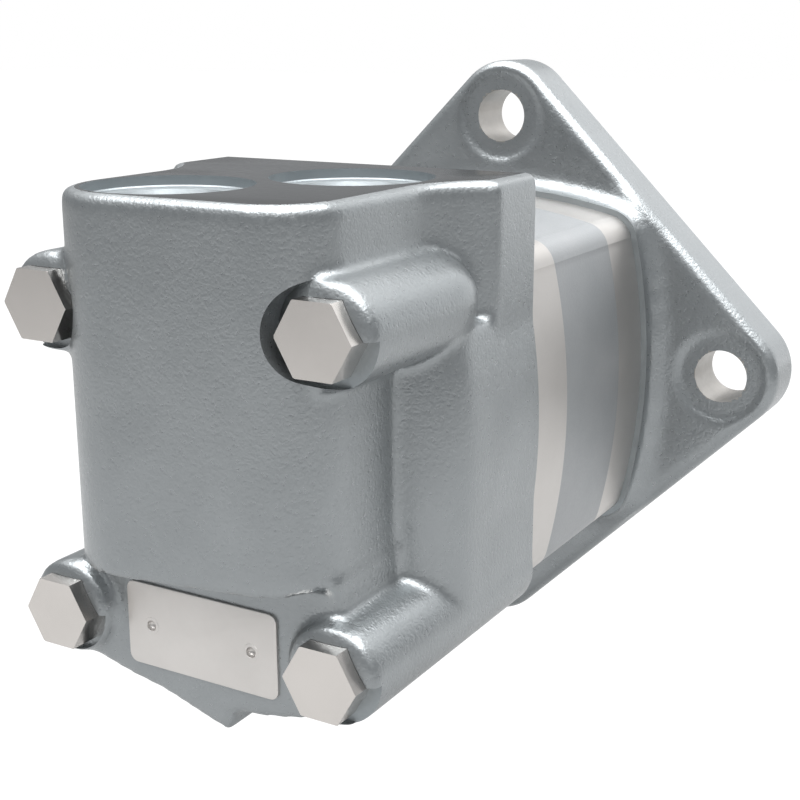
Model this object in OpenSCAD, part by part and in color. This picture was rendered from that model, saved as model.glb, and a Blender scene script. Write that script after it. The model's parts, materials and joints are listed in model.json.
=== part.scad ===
// Orbital hydraulic motor with a disc valve, nine geroler rollers and a square four-bolt flange.
// Each piece is drawn along the motor's own axis: z is the distance behind the mounting face,
// y points up towards the ports and x to the right as seen from behind. lay() turns that axis
// so that the output shaft points along +Y and the ports face +Z.

/* [Body sections] */
// Spacing of neighbouring cap screws
screw_spacing = 66.1; // [65.5:0.1:69]
// Width of the plates at the middle of a side
body_w = 87.8; // [87.2:0.2:92]
// Radius of the bulged sides of the plates
bulge_r = 147; // [135:1:170]
// Thickness of the wear plate
wear_t = 15.4; // [12:0.2:20]
// Thickness of the geroler ring
geroler_t = 31.7; // [27:0.1:44]
// Thickness of the valve plate
valve_plate_t = 15.4; // [12:0.2:20]

/* [Mounting flange] */
// Bolt circle of the mounting holes
flange_pcd = 127; // [124:0.5:134]
// Diameter of the mounting holes
flange_hole_d = 13.5; // [11:0.1:15]
// Corner radius of the flange, round each hole
flange_corner_r = 14.3; // [13.5:0.1:17]
// Thickness of the flange
flange_t = 15; // [13:0.1:19]
// Diameter of the sunk seat round each mounting hole
flange_seat_d = 25; // [23:0.5:26]
// Depth of the sunk seat round each mounting hole
flange_seat_depth = 1.5; // [0.5:0.1:3]
// Height of the pad behind the flange
pad_h = 4.4; // [3:0.1:8]
// How far the pad stands out past the plates
pad_rim = 1.5; // [1:0.1:3]
// Diameter of the pilot
pilot_d = 101.6; // [96:0.1:108]
// Height of the pilot
pilot_h = 9.5; // [6:0.1:13]
// Diameter of the bearing snout
snout_d = 80; // [78:0.5:90]
// How far the bearing snout reaches ahead of the mounting face
snout_l = 49.3; // [48.8:0.1:56]

/* [Valve housing] */
// Distance from the valve plate to the seats of the screw heads
housing_seat_l = 66.5; // [64:0.1:72]
// Radius of the port column's left corner, round the rear port
column_corner_r = 20.8; // [20.6:0.1:22]
// Width of the port column
column_w = 65.8; // [62:0.2:68]
// Width of the front band at the ports
band_w = 83.6; // [80:0.2:88]
// Depth of the front band at the ports
band_l = 17.6; // [12:0.2:20]
// Depth of the front band at the sides
side_band_l = 42.6; // [38:0.2:46]
// Height of the port face above the motor's axis
port_face_h = 56.3; // [55.5:0.1:62]
// Depth of the port column's lower edge below the motor's axis
column_drop = 19.2; // [17:0.1:21]
// Radius of the bosses round the cap screws
screw_boss_r = 10.3; // [9.8:0.1:11.5]
// Radius of the seats under the screw heads
screw_seat_r = 10.6; // [9.8:0.1:12]
// Depth of the belly below the motor's axis
belly_h = 49; // [47:0.2:52]
// Radius of the belly's underside
belly_r = 95; // [80:1:120]

/* [Ports] */
// Diameter of the sunk face round each port
port_seat_d = 34.7; // [34:0.1:36]
// Depth of the sunk face round each port
port_seat_depth = 2.3; // [1:0.1:3]
// Diameter of the seal seat at the mouth of each port
port_mouth_d = 25.2; // [23.5:0.1:27]
// Diameter of the port's bore, under its thread
port_bore_d = 20.4; // [18:0.1:21]
// Sideways place of the rear port
rear_port_x = -12.6; // [-14:0.1:-11]
// Distance of the rear port from the valve plate
rear_port_l = 54.5; // [53:0.1:56]
// Sideways place of the front port
front_port_x = 11.4; // [10:0.1:13]
// Distance of the front port from the valve plate
front_port_l = 24.6; // [24:0.1:26]
// Width of the case drain boss
drain_w = 22; // [20:0.2:24]
// Diameter of the case drain's bore, under its thread
drain_bore_d = 9.9; // [8:0.1:11]
// Lean of the case drain from straight down
drain_lean = 17; // [12:1:20]

/* [Cap screws] */
// Diameter of the cap screws
screw_d = 9.52; // [8:0.01:10]
// Width of the hex heads across the flats
head_af = 14.3; // [13:0.1:16]
// Height of the hex heads
head_h = 6.2; // [5:0.1:8]
// Depth of the screws in the bearing housing
screw_grip = 15; // [13:0.5:15.5]

/* [Name plate] */
// Width of the name plate
plate_w = 38; // [34:0.5:42]
// Height of the name plate
plate_h = 18.4; // [16:0.2:19]
// Thickness of the name plate
plate_t = 0.6; // [0.4:0.1:1]
// Spacing of its drive screws
plate_screw_spacing = 25.4; // [20:0.2:28]

/* [Geroler] */
// Radius on which the rollers sit
roller_circle_r = 31; // [30.5:0.05:31.5]
// Radius of each roller
roller_r = 6.35; // [6.2:0.01:6.5]
// Offset of the star from the motor's axis
orbit_r = 2.9; // [2.6:0.01:3.1]
// Clearance between the star and the rollers
star_gap = 0.12; // [0.1:0.01:0.18]
// Clearance of a roller in its pocket
pocket_gap = 0.08; // [0.05:0.01:0.12]

/* [Shaft and drives] */
// Diameter of the output shaft
shaft_d = 31.75; // [28:0.05:34]
// Length of the shaft ahead of the snout
shaft_l = 49; // [44:0.5:56]
// Diameter of the shaft under its seals
seal_journal_d = 46; // [45:0.2:48]
// Width of the shaft key
key_w = 7.94; // [6:0.01:9]
// Length of the shaft key
key_l = 32; // [24:0.5:36]
// Radius of the tips of the external splines
spline_r = 12.6; // [12:0.1:13]
// Height of the spline teeth
spline_h = 2; // [1.6:0.1:2.2]
// Clearance in the splines, which the tilt of the drives needs
spline_gap = 0.5; // [0.45:0.01:0.7]
// Radius of the drives between their heads
drive_neck_r = 8.4; // [7:0.1:9.2]

/* [Bearings] */
// Bore of the bearings
bearing_bore_d = 40; // [39:0.1:41]
// Outer diameter of the bearings
bearing_od = 68; // [67.6:0.1:70]
// Clearance in the bearings and other running fits
run_gap = 0.06; // [0.04:0.01:0.1]

/* [Rotary valve] */
// Radius of the rotary valve
valve_r = 31; // [30:0.1:32]
// Thickness of the rotary valve's disc
valve_t = 12; // [11:0.2:13]
// Radius of the oil space round the valve
gallery_r = 35.5; // [34.5:0.1:36.5]

/* [Hidden] */
// Sections along the axis, front to back
pad_z = flange_t + pad_h;
geroler_z = pad_z + wear_t;
valve_plate_z = geroler_z + geroler_t;
housing_z = valve_plate_z + valve_plate_t;
seat_z = housing_z + housing_seat_l;
column_z = housing_z + rear_port_l + column_corner_r;
column_x = rear_port_x - column_corner_r;
column_slope = 4.6;
hole_z = flange_t - flange_seat_depth;

// Outline of the plates: bulged sides, tangent to arcs centred on the cap screws
screw_at = screw_spacing / 2;
body_half = body_w / 2;
bulge_at = body_half - bulge_r;
corner_reach = norm([screw_at - bulge_at, screw_at]);
corner_r = bulge_r - corner_reach;
corner_turn = atan2(screw_at, screw_at - bulge_at);
screw_hole_r = screw_d / 2 + 0.45;

// Seals between the sections, square in section
seal_r = 39.5;
seal_w = 1.9;
seal_t = 1.6;
seal_gap = 0.04;

// Splines: the same size in the shaft, the star and the rotary valve
teeth = 12;
spline_root_r = spline_r - spline_h;
bore_major_r = spline_r + spline_gap;
bore_minor_r = spline_root_r + spline_gap;

// Drives, each from the centre of one head to the centre of the other
shaft_head_z = pad_z - 19.7;
main_head_l = 12;
valve_head_l = 8;
spacer_t = 1.6;
head_gap = 1.3;
star_valve_z = valve_plate_z - head_gap - 0.2 - valve_head_l / 2;
spacer_z = star_valve_z - valve_head_l / 2 - head_gap - spacer_t;
star_main_z = spacer_z - head_gap - main_head_l / 2;
valve_head_z = housing_z + 10.8;
main_tilt = atan2(orbit_r, star_main_z - shaft_head_z);
valve_tilt = atan2(orbit_r, valve_head_z - star_valve_z);

// Geroler: eight lobes inside nine rollers, the first roller at the top
rollers = 9;
lobes = rollers - 1;
lobe_steps = 24;
bunching = 0.9;
top = 90;
tip_sweep_r = roller_circle_r + 2 * orbit_r - roller_r;
ring_bore_r = tip_sweep_r + 0.35;
side_gap = 0.03;

// Seals of the shaft, from the nose of the snout inwards
journal_seal_r = seal_journal_d / 2;
dust_seal_t = 4.5;
retainer_t = 1.6;
shaft_seal_t = 8;
washer_t = 1.4;
retainer_z = 0.6 - snout_l + dust_seal_t;
shaft_seal_z = retainer_z + retainer_t + 0.3;
washer_z = shaft_seal_z + shaft_seal_t + 0.1;

// Bearings: both back faces point outwards, with a rib of the housing between the cups
bearing_t = 19;
cup_t = 14.5;
bore_r = bearing_od / 2;
journal_r = bearing_bore_d / 2;
rear_back_z = pad_z - 7.7;
front_back_z = washer_z + washer_t + 0.5;
rib_t = rear_back_z - 2 * bearing_t - front_back_z;
rib_bore_r = bore_r - 6;
cup_angle = 14;
cone_angle = 10.8;
cup_mouth_r = bore_r - 2.04;
cone_apex = bearing_t - cup_t + cup_mouth_r / tan(cup_angle);
cone_rib_r = journal_r + 7;
cone_rib_t = 3.6;
cone_lip_z = bearing_t - 1.8;
taper_start = 4.6;
taper_l = 12.2;
cage_start = 2.6;
cage_end = bearing_t - 1;
roller_angle = (cup_angle + cone_angle) / 2;
roller_half = (cup_angle - cone_angle) / 2;
bearing_rollers = 18;
nut_t = 6.5;
nut_r = journal_r + 8;

// Valve housing's inside: gallery, balance ring, centre chamber
valve_gap = 0.05;
valve_z = housing_z + valve_gap;
web_z = valve_z + valve_t + 8;
balance_z = valve_z + valve_t + valve_gap;
balance_flange_r = 31.6;
balance_flange_t = 4.2;
balance_bore_r = 21;
balance_sleeve_r = 26;
balance_l = 13.8;
spring_t = 0.9;
spring_rise = 2.2;
spring_z = balance_z + balance_l + 0.05;
pocket_end_z = spring_z + spring_rise + 0.05;
spigot_z = valve_z + valve_t + 6;
chamber_r = 12;
chamber_end_z = seat_z - 5;
balance_seal_w = 2.2;
balance_pin_r = 1.2;
balance_pin_reach = 5;
valve_hub_r = 20;
valve_hub_t = 5.4;
port_circle_r = 27.4;
front_port_floor = balance_flange_r + 1.4;
rear_port_floor = 6;

// Belly of the valve housing: how far its underside turns, and its top behind the column's edge
belly_turn = asin((screw_at - 1.4) / belly_r);
belly_top = 4 - column_drop;

// Case drain: its boss stands off centre under the belly
drain_at = 10.2;
drain_h = 49.7;

// Name plate on the back of the housing, below the column
plate_y = -33.7;
boss_edge = 1.4;
plate_z = seat_z - 0.9;
rivet_hole_r = 1.2;
rivet_l = 6;
rivet_head_r = 1.9;
rivet_head_t = 0.5;

$fn = 64;
cast = "#86898c";
machined = "#c4c1bc";
steel = "#9a9c9e";
rubber = "#26282a";
brass = "#b08d4a";

// Turns the motor's own axis into place
module lay() {
    rotate([90, 0, 0]) children();
}

// A ring or disc, round the motor's axis
module ring(z, t, outer, inner) {
    translate([0, 0, z]) difference() {
        cylinder(h = t, r = outer);
        translate([0, 0, -1]) cylinder(h = t + 2, r = inner);
    }
}

// A block of depth t that starts at z, outlined by points
module slab(z, t, points) {
    translate([0, 0, z]) linear_extrude(height = t) polygon(points);
}

// Points on an arc, without its last one
function arc(at, r, from, to, steps) = [
    for (i = [0 : steps - 1])
        let (a = from + (to - from) * i / steps) at + r * [cos(a), sin(a)]
];

function turn(points, a) = [
    for (p = points) [p.x * cos(a) - p.y * sin(a), p.x * sin(a) + p.y * cos(a)]
];

// Outline of the plates, grown outwards by a rim
function body_outline(rim = 0) = [
    for (q = [0 : 3]) each turn(concat(
        arc([bulge_at, 0], bulge_r + rim, -corner_turn, corner_turn, 8),
        arc([screw_at, screw_at], corner_r + rim, corner_turn, 90 - corner_turn, 5)
    ), 90 * q)
];

// Outline of the flange: a square that stands on its corner
function flange_outline(rim = 0) = [
    for (q = [0 : 3]) each turn(
        arc([flange_pcd / 2, 0], flange_corner_r + rim, -45, 45, 12), 90 * q)
];

// A rectangle between two corners, with its own radius at each of them, from lower right round
function rounded(x0, y0, x1, y1, radii, steps = 6) = concat(
    arc([x1 - radii[0], y0 + radii[0]], radii[0], -90, 0, steps),
    arc([x1 - radii[1], y1 - radii[1]], radii[1], 0, 90, steps),
    arc([x0 + radii[2], y1 - radii[2]], radii[2], 90, 180, steps),
    arc([x0 + radii[3], y0 + radii[3]], radii[3], 180, 270, steps)
);

// Holes for the four cap screws
module at_screws() {
    for (sx = [-1, 1], sy = [-1, 1]) translate([sx * screw_at, sy * screw_at, 0]) children();
}

module screw_holes(z, t, r) {
    at_screws() translate([0, 0, z]) cylinder(h = t, r = r);
}

// The groove of the seal that starts at z, open on both sides of it
module seal_groove(z) {
    ring(z - seal_gap, seal_t + 2 * seal_gap, seal_r + seal_w / 2 + seal_gap,
         seal_r - seal_w / 2 - seal_gap);
}

// Teeth as a polygon: flanks lean by the same half angle from root to tip
function spline(tip, root, tip_share, root_share) = [
    for (i = [0 : teeth - 1]) each
        let (a = i * 360 / teeth, pitch = 360 / teeth)
        [
            for (k = [[-root_share / 2, root], [-tip_share / 2, tip], [tip_share / 2, tip],
                      [root_share / 2, root]])
                k[1] * [cos(a + k[0] * pitch), sin(a + k[0] * pitch)]
        ]
];

// The splined bore in the shaft, the star and the rotary valve
module spline_bore(z, t) {
    slab(z, t, spline(bore_major_r, bore_minor_r, 0.46, 0.66));
}

// A crowned head of a drive, centred on its own middle
module spline_head(l) {
    intersection() {
        translate([0, 0, -l / 2]) linear_extrude(height = l)
            polygon(spline(spline_r, spline_root_r, 0.24, 0.4));
        rotate_extrude() polygon(concat(
            [[0, -l / 2]],
            [for (i = [-4 : 4]) [spline_r + 0.05 - 1.1 * pow(i / 4, 2), i * l / 8]],
            [[0, l / 2]]
        ));
    }
}

// A drive from its first head, at the origin, to its second head
module drive(length, head_a, head_b) {
    spline_head(head_a);
    translate([0, 0, length]) spline_head(head_b);
    rotate_extrude() polygon([
        [0, 0], [spline_root_r - 0.6, 0], [spline_root_r - 0.6, head_a / 2 - 0.6],
        [drive_neck_r, head_a / 2 + 1.4], [drive_neck_r, length - head_b / 2 - 1.4],
        [spline_root_r - 0.6, length - head_b / 2 + 0.6], [spline_root_r - 0.6, length], [0, length]
    ]);
}

// Inner ends of the star's profile: the path of the rollers round the star, moved in by a roller
function lobe_angle(i) =
    let (t = 360 / lobes * i / lobe_steps)
    t - bunching / lobes * sin(lobes * t) * 180 / PI;

function star_point(a) =
    let (
        path = roller_circle_r * [cos(a), sin(a)] - orbit_r * [cos(rollers * a), sin(rollers * a)],
        along = roller_circle_r * [-sin(a), cos(a)]
            + rollers * orbit_r * [sin(rollers * a), -cos(rollers * a)],
        inward = [-along.y, along.x] / norm(along)
    )
    path + inward * (roller_r + star_gap);

module roller_hole(i, r, z, t) {
    a = top + i * 360 / rollers;
    translate([roller_circle_r * cos(a), roller_circle_r * sin(a), z]) cylinder(h = t, r = r);
}

// A taper bearing, with the back face of its cone at the origin and its apex along +z
function race(angle, z) = (cone_apex - z) * tan(angle);

module bearing_cup_shape() {
    z0 = bearing_t - cup_t;
    rotate_extrude() polygon([
        [race(cup_angle, z0), z0], [bore_r - 0.8, z0], [bore_r, z0 + 0.8],
        [bore_r, bearing_t - 0.8], [bore_r - 0.8, bearing_t],
        [race(cup_angle, bearing_t), bearing_t]
    ]);
}

module bearing_cone_shape() {
    rotate_extrude() polygon([
        [journal_r, 0.6], [journal_r + 0.6, 0], [cone_rib_r, 0], [cone_rib_r, cone_rib_t],
        [race(cone_angle, cone_rib_t), cone_rib_t], [race(cone_angle, cone_lip_z), cone_lip_z],
        [race(cone_angle, cone_lip_z) + 1, cone_lip_z],
        [race(cone_angle, cone_lip_z) + 1, bearing_t], [journal_r, bearing_t]
    ]);
}

// One taper roller, grown by a gap
module taper_roller(i, gap) {
    reach = (cone_apex - taper_start) / cos(roller_angle);
    rotate([0, 0, i * 360 / bearing_rollers])
        translate([race(roller_angle, taper_start), 0, taper_start])
            rotate([0, -roller_angle, 0])
                translate([0, 0, -gap])
                    cylinder(
                        h = taper_l + 2 * gap,
                        r1 = reach * tan(roller_half) + gap,
                        r2 = (reach - taper_l) * tan(roller_half) + gap
                    );
}

module bearing_rollers_shape() {
    for (i = [0 : bearing_rollers - 1]) taper_roller(i, -run_gap);
}

module bearing_cage_shape() {
    difference() {
        rotate_extrude() polygon([
            [race(roller_angle, cage_start) - 0.7, cage_start],
            [race(roller_angle, cage_start) + 0.7, cage_start],
            [race(roller_angle, cage_end) + 0.7, cage_end],
            [race(roller_angle, cage_end) - 0.7, cage_end]
        ]);
        for (i = [0 : bearing_rollers - 1]) taper_roller(i, 0.2);
    }
}

module front_bearing() {
    translate([0, 0, front_back_z]) children();
}

module rear_bearing() {
    translate([0, 0, rear_back_z]) mirror([0, 0, 1]) children();
}

// Bearing housing: one casting with the flange, the pad behind it, the pilot and the snout
module flange_body() {
    edge = 3;
    hull() {
        slab(0, flange_t - edge, flange_outline());
        for (a = [30, 60, 90])
            slab(flange_t - edge, edge * sin(a), flange_outline(edge * (cos(a) - 1)));
    }
}

module pad_body() {
    intersection() {
        slab(0, pad_z, flange_outline(-1));
        union() {
            for (i = [0 : 2]) hull() {
                for (k = [i, i + 1])
                    slab(flange_t - 1, 1 + pad_h * (1 - cos(30 * k)),
                         body_outline(pad_rim + pad_h * (1 - sin(30 * k))));
            }
        }
    }
    slab(flange_t - 1, pad_h + 1, body_outline(pad_rim));
}

module front_body() {
    rotate_extrude($fn = 96) polygon([
        [0, -snout_l], [snout_d / 2 - 1.5, -snout_l], [snout_d / 2, 1.5 - snout_l],
        [snout_d / 2, -pilot_h - 2], [snout_d / 2 + 2, -pilot_h], [pilot_d / 2 - 1, -pilot_h],
        [pilot_d / 2, 1 - pilot_h], [pilot_d / 2, 1], [0, 1]
    ]);
}

module bearing_housing() {
    color(cast) lay() difference() {
        union() {
            flange_body();
            pad_body();
            front_body();
        }
        rotate_extrude() polygon([
            [0, -snout_l - 1], [bore_r + 1, -snout_l - 1], [bore_r, -snout_l],
            [bore_r, retainer_z - 0.1], [bore_r + 1.6, retainer_z - 0.1],
            [bore_r + 1.6, retainer_z + retainer_t + 0.1], [bore_r, retainer_z + retainer_t + 0.1],
            [bore_r, front_back_z + bearing_t], [rib_bore_r, front_back_z + bearing_t],
            [rib_bore_r, rear_back_z - bearing_t], [bore_r, rear_back_z - bearing_t],
            [bore_r, pad_z + 1], [0, pad_z + 1]
        ]);
        for (q = [0 : 3]) rotate([0, 0, 90 * q]) translate([flange_pcd / 2, 0, 0]) {
            translate([0, 0, -1]) cylinder(h = flange_t + 2, r = flange_hole_d / 2);
            translate([0, 0, hole_z]) cylinder(h = 5, r = flange_seat_d / 2);
        }
        screw_holes(pad_z - screw_grip - 2, screw_grip + 3, screw_d / 2 + 0.02);
        seal_groove(pad_z - seal_t);
    }
}

module wear_plate() {
    color(machined) lay() difference() {
        slab(pad_z, wear_t, body_outline());
        translate([0, 0, pad_z - 1]) cylinder(h = wear_t + 2, r = drive_neck_r + orbit_r + 3.2);
        screw_holes(pad_z - 1, wear_t + 2, screw_hole_r);
        seal_groove(geroler_z - seal_t);
    }
}

module geroler_ring() {
    color(steel) lay() difference() {
        slab(geroler_z, geroler_t, body_outline());
        translate([0, 0, geroler_z - 1]) cylinder(h = geroler_t + 2, r = ring_bore_r, $fn = 96);
        for (i = [0 : rollers - 1])
            roller_hole(i, roller_r + pocket_gap, geroler_z - 1, geroler_t + 2);
        screw_holes(geroler_z - 1, geroler_t + 2, screw_hole_r);
    }
}

module geroler_roller(i) {
    color(machined) lay() roller_hole(i, roller_r, geroler_z + side_gap, geroler_t - 2 * side_gap);
}

module star() {
    color(steel) lay() translate([0, orbit_r, 0]) difference() {
        slab(geroler_z + side_gap, geroler_t - 2 * side_gap,
             turn([for (i = [0 : lobes * lobe_steps - 1]) star_point(lobe_angle(i))], top));
        spline_bore(geroler_z - 1, geroler_t + 2);
    }
}

module valve_plate() {
    color(machined) lay() difference() {
        slab(valve_plate_z, valve_plate_t, body_outline());
        translate([0, 0, valve_plate_z - 1]) cylinder(h = valve_plate_t + 2, r = bore_minor_r + 1.4);
        for (i = [0 : rollers - 1]) rotate([0, 0, top + (i + 0.5) * 360 / rollers])
            translate([port_circle_r, 0, valve_plate_z - 1]) cylinder(h = valve_plate_t + 2, r = 2.4);
        screw_holes(valve_plate_z - 1, valve_plate_t + 2, screw_hole_r);
        seal_groove(valve_plate_z);
    }
}

// Valve housing: the band against the plates, the port column, the bosses, the belly and the drain
module column_body() {
    edge = 3;
    rotate([-90, 0, 0]) mirror([0, 1, 0]) hull()
        for (a = [0, 30, 60, 90]) {
            slab(port_face_h - edge, edge * sin(a), column_outline(edge * (1 - cos(a))));
            rotate([0, -column_slope, 0]) translate([0, 0, edge - column_drop - edge * sin(a)])
                slab(0, edge * sin(a) + 0.1, column_outline(edge * (1 - cos(a))));
        }
}

// The column seen from above, moved inwards by a step
function column_outline(step) = rounded(
    column_x + step, housing_z, column_x + column_w - step, column_z - step,
    [0.5, 14, column_corner_r - step, 0.5], 8);

// The band in front of the column, as wide as the port face's front
module band_body() {
    slab(housing_z, band_l, rounded(-band_w / 2, 0, band_w / 2, port_face_h, [0.5, 2.5, 2.5, 0.5]));
}

// The bulged sides seen from behind, moved inwards by a step: they run straight into the lower
// bosses
function side_outline(step) = [
    for (s = [1, -1], p = concat(
        [[screw_at + screw_boss_r - 0.2 - step, -screw_at]],
        arc([bulge_at, 0], bulge_r - step, -corner_turn / 2, corner_turn + 1, 9)
    )) [s * p.x, s * p.y]
];

module side_body() {
    edge = 13;
    slab(housing_z, band_l, body_outline());
    hull() {
        slab(housing_z, side_band_l - edge, side_outline(0));
        for (a = [22.5, 45, 67.5, 90])
            slab(housing_z + side_band_l - edge, edge * sin(a), side_outline(edge * (1 - cos(a))));
    }
}

// The belly seen from behind, moved inwards by a step: it narrows to fit under the column
function belly_outline(step) = concat(
    arc([0, belly_r - belly_h], belly_r - step, 270 - belly_turn, 270 + belly_turn, 12),
    [[screw_at, 8 - screw_at], [screw_at, belly_top - step], [column_x + 5, belly_top - step],
     [-screw_at, 8 - screw_at]]
);

module belly_body() {
    edge = 3;
    hull() {
        slab(housing_z, plate_z - housing_z - edge, belly_outline(0));
        for (a = [45, 90])
            slab(plate_z - edge, edge * sin(a), belly_outline(edge * (1 - cos(a))));
    }
}

// The square boss of the case drain, off centre under the belly
module drain_frame() {
    rotate([0, 0, -drain_lean]) translate([drain_at, -drain_h, plate_z - drain_w / 2]) children();
}

// A boss round a cap screw, from z back to the seat of its head
module screw_boss(z) {
    rotate_extrude() polygon(concat(
        [[0, z], [screw_boss_r, z]],
        arc([screw_boss_r - boss_edge, seat_z - boss_edge], boss_edge, 0, 90, 4),
        [[screw_boss_r - boss_edge, seat_z], [0, seat_z]]
    ));
}

module housing_solid() {
    band_body();
    side_body();
    column_body();
    belly_body();
    for (sx = [-1, 1]) {
        translate([sx * screw_at, -screw_at, 0]) screw_boss(housing_z);
        translate([sx * screw_at, screw_at, 0]) screw_boss(housing_z + band_l - 2);
    }
    drain_frame() translate([-drain_w / 2, 0, -drain_w / 2]) cube([drain_w, 16, drain_w]);
}

// A port drilled down from the port face: sunk face, seal seat and threaded bore
module port_cut(x, l, floor_y) {
    translate([x, 0, housing_z + l]) rotate([-90, 0, 0]) {
        translate([0, 0, port_face_h - port_seat_depth]) cylinder(h = 10, r = port_seat_d / 2);
        translate([0, 0, port_face_h - port_seat_depth - 3])
            cylinder(h = 3.01, r1 = port_bore_d / 2 + 0.9, r2 = port_mouth_d / 2);
        translate([0, 0, floor_y])
            cylinder(h = port_face_h - floor_y, r = port_bore_d / 2);
    }
}

module valve_housing() {
    color(cast) lay() difference() {
        housing_solid();
        rotate_extrude() polygon([
            [0, housing_z - 1], [gallery_r, housing_z - 1], [gallery_r, web_z],
            [balance_sleeve_r + run_gap, web_z], [balance_sleeve_r + run_gap, pocket_end_z],
            [balance_bore_r - run_gap, pocket_end_z], [balance_bore_r - run_gap, spigot_z],
            [chamber_r, spigot_z], [chamber_r, chamber_end_z], [0, chamber_end_z]
        ]);
        ring(web_z + 2, balance_seal_w + seal_gap, balance_sleeve_r + balance_seal_w + seal_gap,
             balance_sleeve_r - 1);
        ring(spigot_z + 2, balance_seal_w + seal_gap, balance_bore_r + 1,
             balance_bore_r - balance_seal_w - seal_gap);
        port_cut(front_port_x, front_port_l, front_port_floor);
        port_cut(rear_port_x, rear_port_l, rear_port_floor);
        screw_holes(housing_z - 1, housing_seat_l + 2, screw_hole_r);
        screw_holes(seat_z, 30, screw_seat_r);
        seal_groove(housing_z);
        drain_frame() rotate([-90, 0, 0]) {
            translate([0, 0, -1]) cylinder(h = 15, r = drain_bore_d / 2);
        }
        for (s = [-1, 1])
            translate([s * plate_screw_spacing / 2, plate_y, plate_z - rivet_l - 1])
                cylinder(h = rivet_l + 2, r = rivet_hole_r);
        balance_pin_holes();
    }
}

module cap_screws() {
    color(machined) lay() at_screws() {
        translate([0, 0, seat_z]) {
            cylinder(h = 0.5, r = head_af / 2 - 0.3);
            intersection() {
                translate([0, 0, 0.5]) cylinder(h = head_h - 0.5, r = head_af / sqrt(3), $fn = 6);
                cylinder(h = head_h, r1 = head_af, r2 = head_af / 2 + 0.6);
            }
        }
        translate([0, 0, pad_z - screw_grip])
            cylinder(h = seat_z - pad_z + screw_grip + 0.2, r = screw_d / 2);
    }
}

module name_plate() {
    color(machined) lay() difference() {
        slab(plate_z, plate_t, rounded(
            -plate_w / 2, plate_y - plate_h / 2, plate_w / 2, plate_y + plate_h / 2,
            [2, 2, 2, 2], 4));
        for (s = [-1, 1]) translate([s * plate_screw_spacing / 2, plate_y, plate_z - 1])
            cylinder(h = plate_t + 2, r = rivet_hole_r);
    }
}

module drive_screws() {
    color(machined) lay() for (s = [-1, 1])
        translate([s * plate_screw_spacing / 2, plate_y, 0]) difference() {
            union() {
                translate([0, 0, plate_z - rivet_l])
                    cylinder(h = rivet_l + plate_t, r = rivet_hole_r - 0.03);
                translate([0, 0, plate_z + plate_t]) cylinder(h = rivet_head_t, r = rivet_head_r);
            }
            translate([0, 0, plate_z + plate_t + 0.9]) sphere(r = 1.3, $fn = 24);
        }
}

module section_seals() {
    color(rubber) lay()
        for (z = [pad_z - seal_t, geroler_z - seal_t, valve_plate_z, housing_z])
            ring(z, seal_t, seal_r + seal_w / 2, seal_r - seal_w / 2);
}

module front_bearing_cup() {
    color(steel) lay() front_bearing() bearing_cup_shape();
}

module rear_bearing_cup() {
    color(steel) lay() rear_bearing() bearing_cup_shape();
}

module front_bearing_cone() {
    color(steel) lay() front_bearing() bearing_cone_shape();
}

module rear_bearing_cone() {
    color(steel) lay() rear_bearing() bearing_cone_shape();
}

module front_bearing_rollers() {
    color(machined) lay() front_bearing() bearing_rollers_shape();
}

module rear_bearing_rollers() {
    color(machined) lay() rear_bearing() bearing_rollers_shape();
}

module front_bearing_cage() {
    color(brass) lay() front_bearing() bearing_cage_shape();
}

module rear_bearing_cage() {
    color(brass) lay() rear_bearing() bearing_cage_shape();
}

module bearing_spacer() {
    color(steel) lay()
        ring(front_back_z + bearing_t, rib_t, race(cone_angle, cone_lip_z) + 1, journal_r);
}

module bearing_nut() {
    color(steel) lay() difference() {
        ring(rear_back_z, nut_t, nut_r, journal_r);
        for (q = [0 : 3]) rotate([0, 0, 45 + 90 * q])
            translate([nut_r - 2.5, -2.5, rear_back_z - 1]) cube([6, 5, nut_t + 2]);
    }
}

module shaft_seal() {
    color(rubber) lay() rotate_extrude() polygon([
        [bore_r, shaft_seal_z], [bore_r, shaft_seal_z + shaft_seal_t],
        [bore_r - 3, shaft_seal_z + shaft_seal_t], [bore_r - 3, shaft_seal_z + 2],
        [journal_seal_r + 2.4, shaft_seal_z + 2], [journal_seal_r + 2.4, shaft_seal_z + 6],
        [journal_seal_r + 1, shaft_seal_z + 6.6], [journal_seal_r + run_gap, shaft_seal_z + 5],
        [journal_seal_r + 0.8, shaft_seal_z]
    ]);
}

module seal_washer() {
    color(steel) lay() ring(washer_z, washer_t, bore_r - 0.05, journal_seal_r + 1.2);
}

module seal_retainer() {
    color(steel) lay() difference() {
        ring(retainer_z, retainer_t, bore_r + 1.5, bore_r - 3);
        translate([-3, 20, retainer_z - 1]) cube([6, 30, retainer_t + 2]);
    }
}

module dust_seal() {
    color(rubber) lay() rotate_extrude() polygon([
        [bore_r - 0.02, 0.2 - snout_l], [bore_r - 0.02, dust_seal_t - snout_l],
        [journal_seal_r + 2.4, dust_seal_t - snout_l], [journal_seal_r + 2.4, 3 - snout_l],
        [journal_seal_r + run_gap, 0.8 - snout_l], [journal_seal_r + 1.2, 0.2 - snout_l]
    ]);
}

// Pins that stop the balance ring from turning
module at_balance_pins() {
    for (s = [-1, 1]) translate([s * (balance_flange_r - 1.9), 0, 0]) children();
}

module balance_pin_holes() {
    at_balance_pins() translate([0, 0, web_z - 1])
        cylinder(h = balance_pin_reach + 2, r = balance_pin_r + 0.05);
}

module balance_pins() {
    color(steel) lay() at_balance_pins()
        translate([0, 0, balance_z + 1.2])
            cylinder(h = web_z + balance_pin_reach - balance_z - 1.2, r = balance_pin_r);
}

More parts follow.
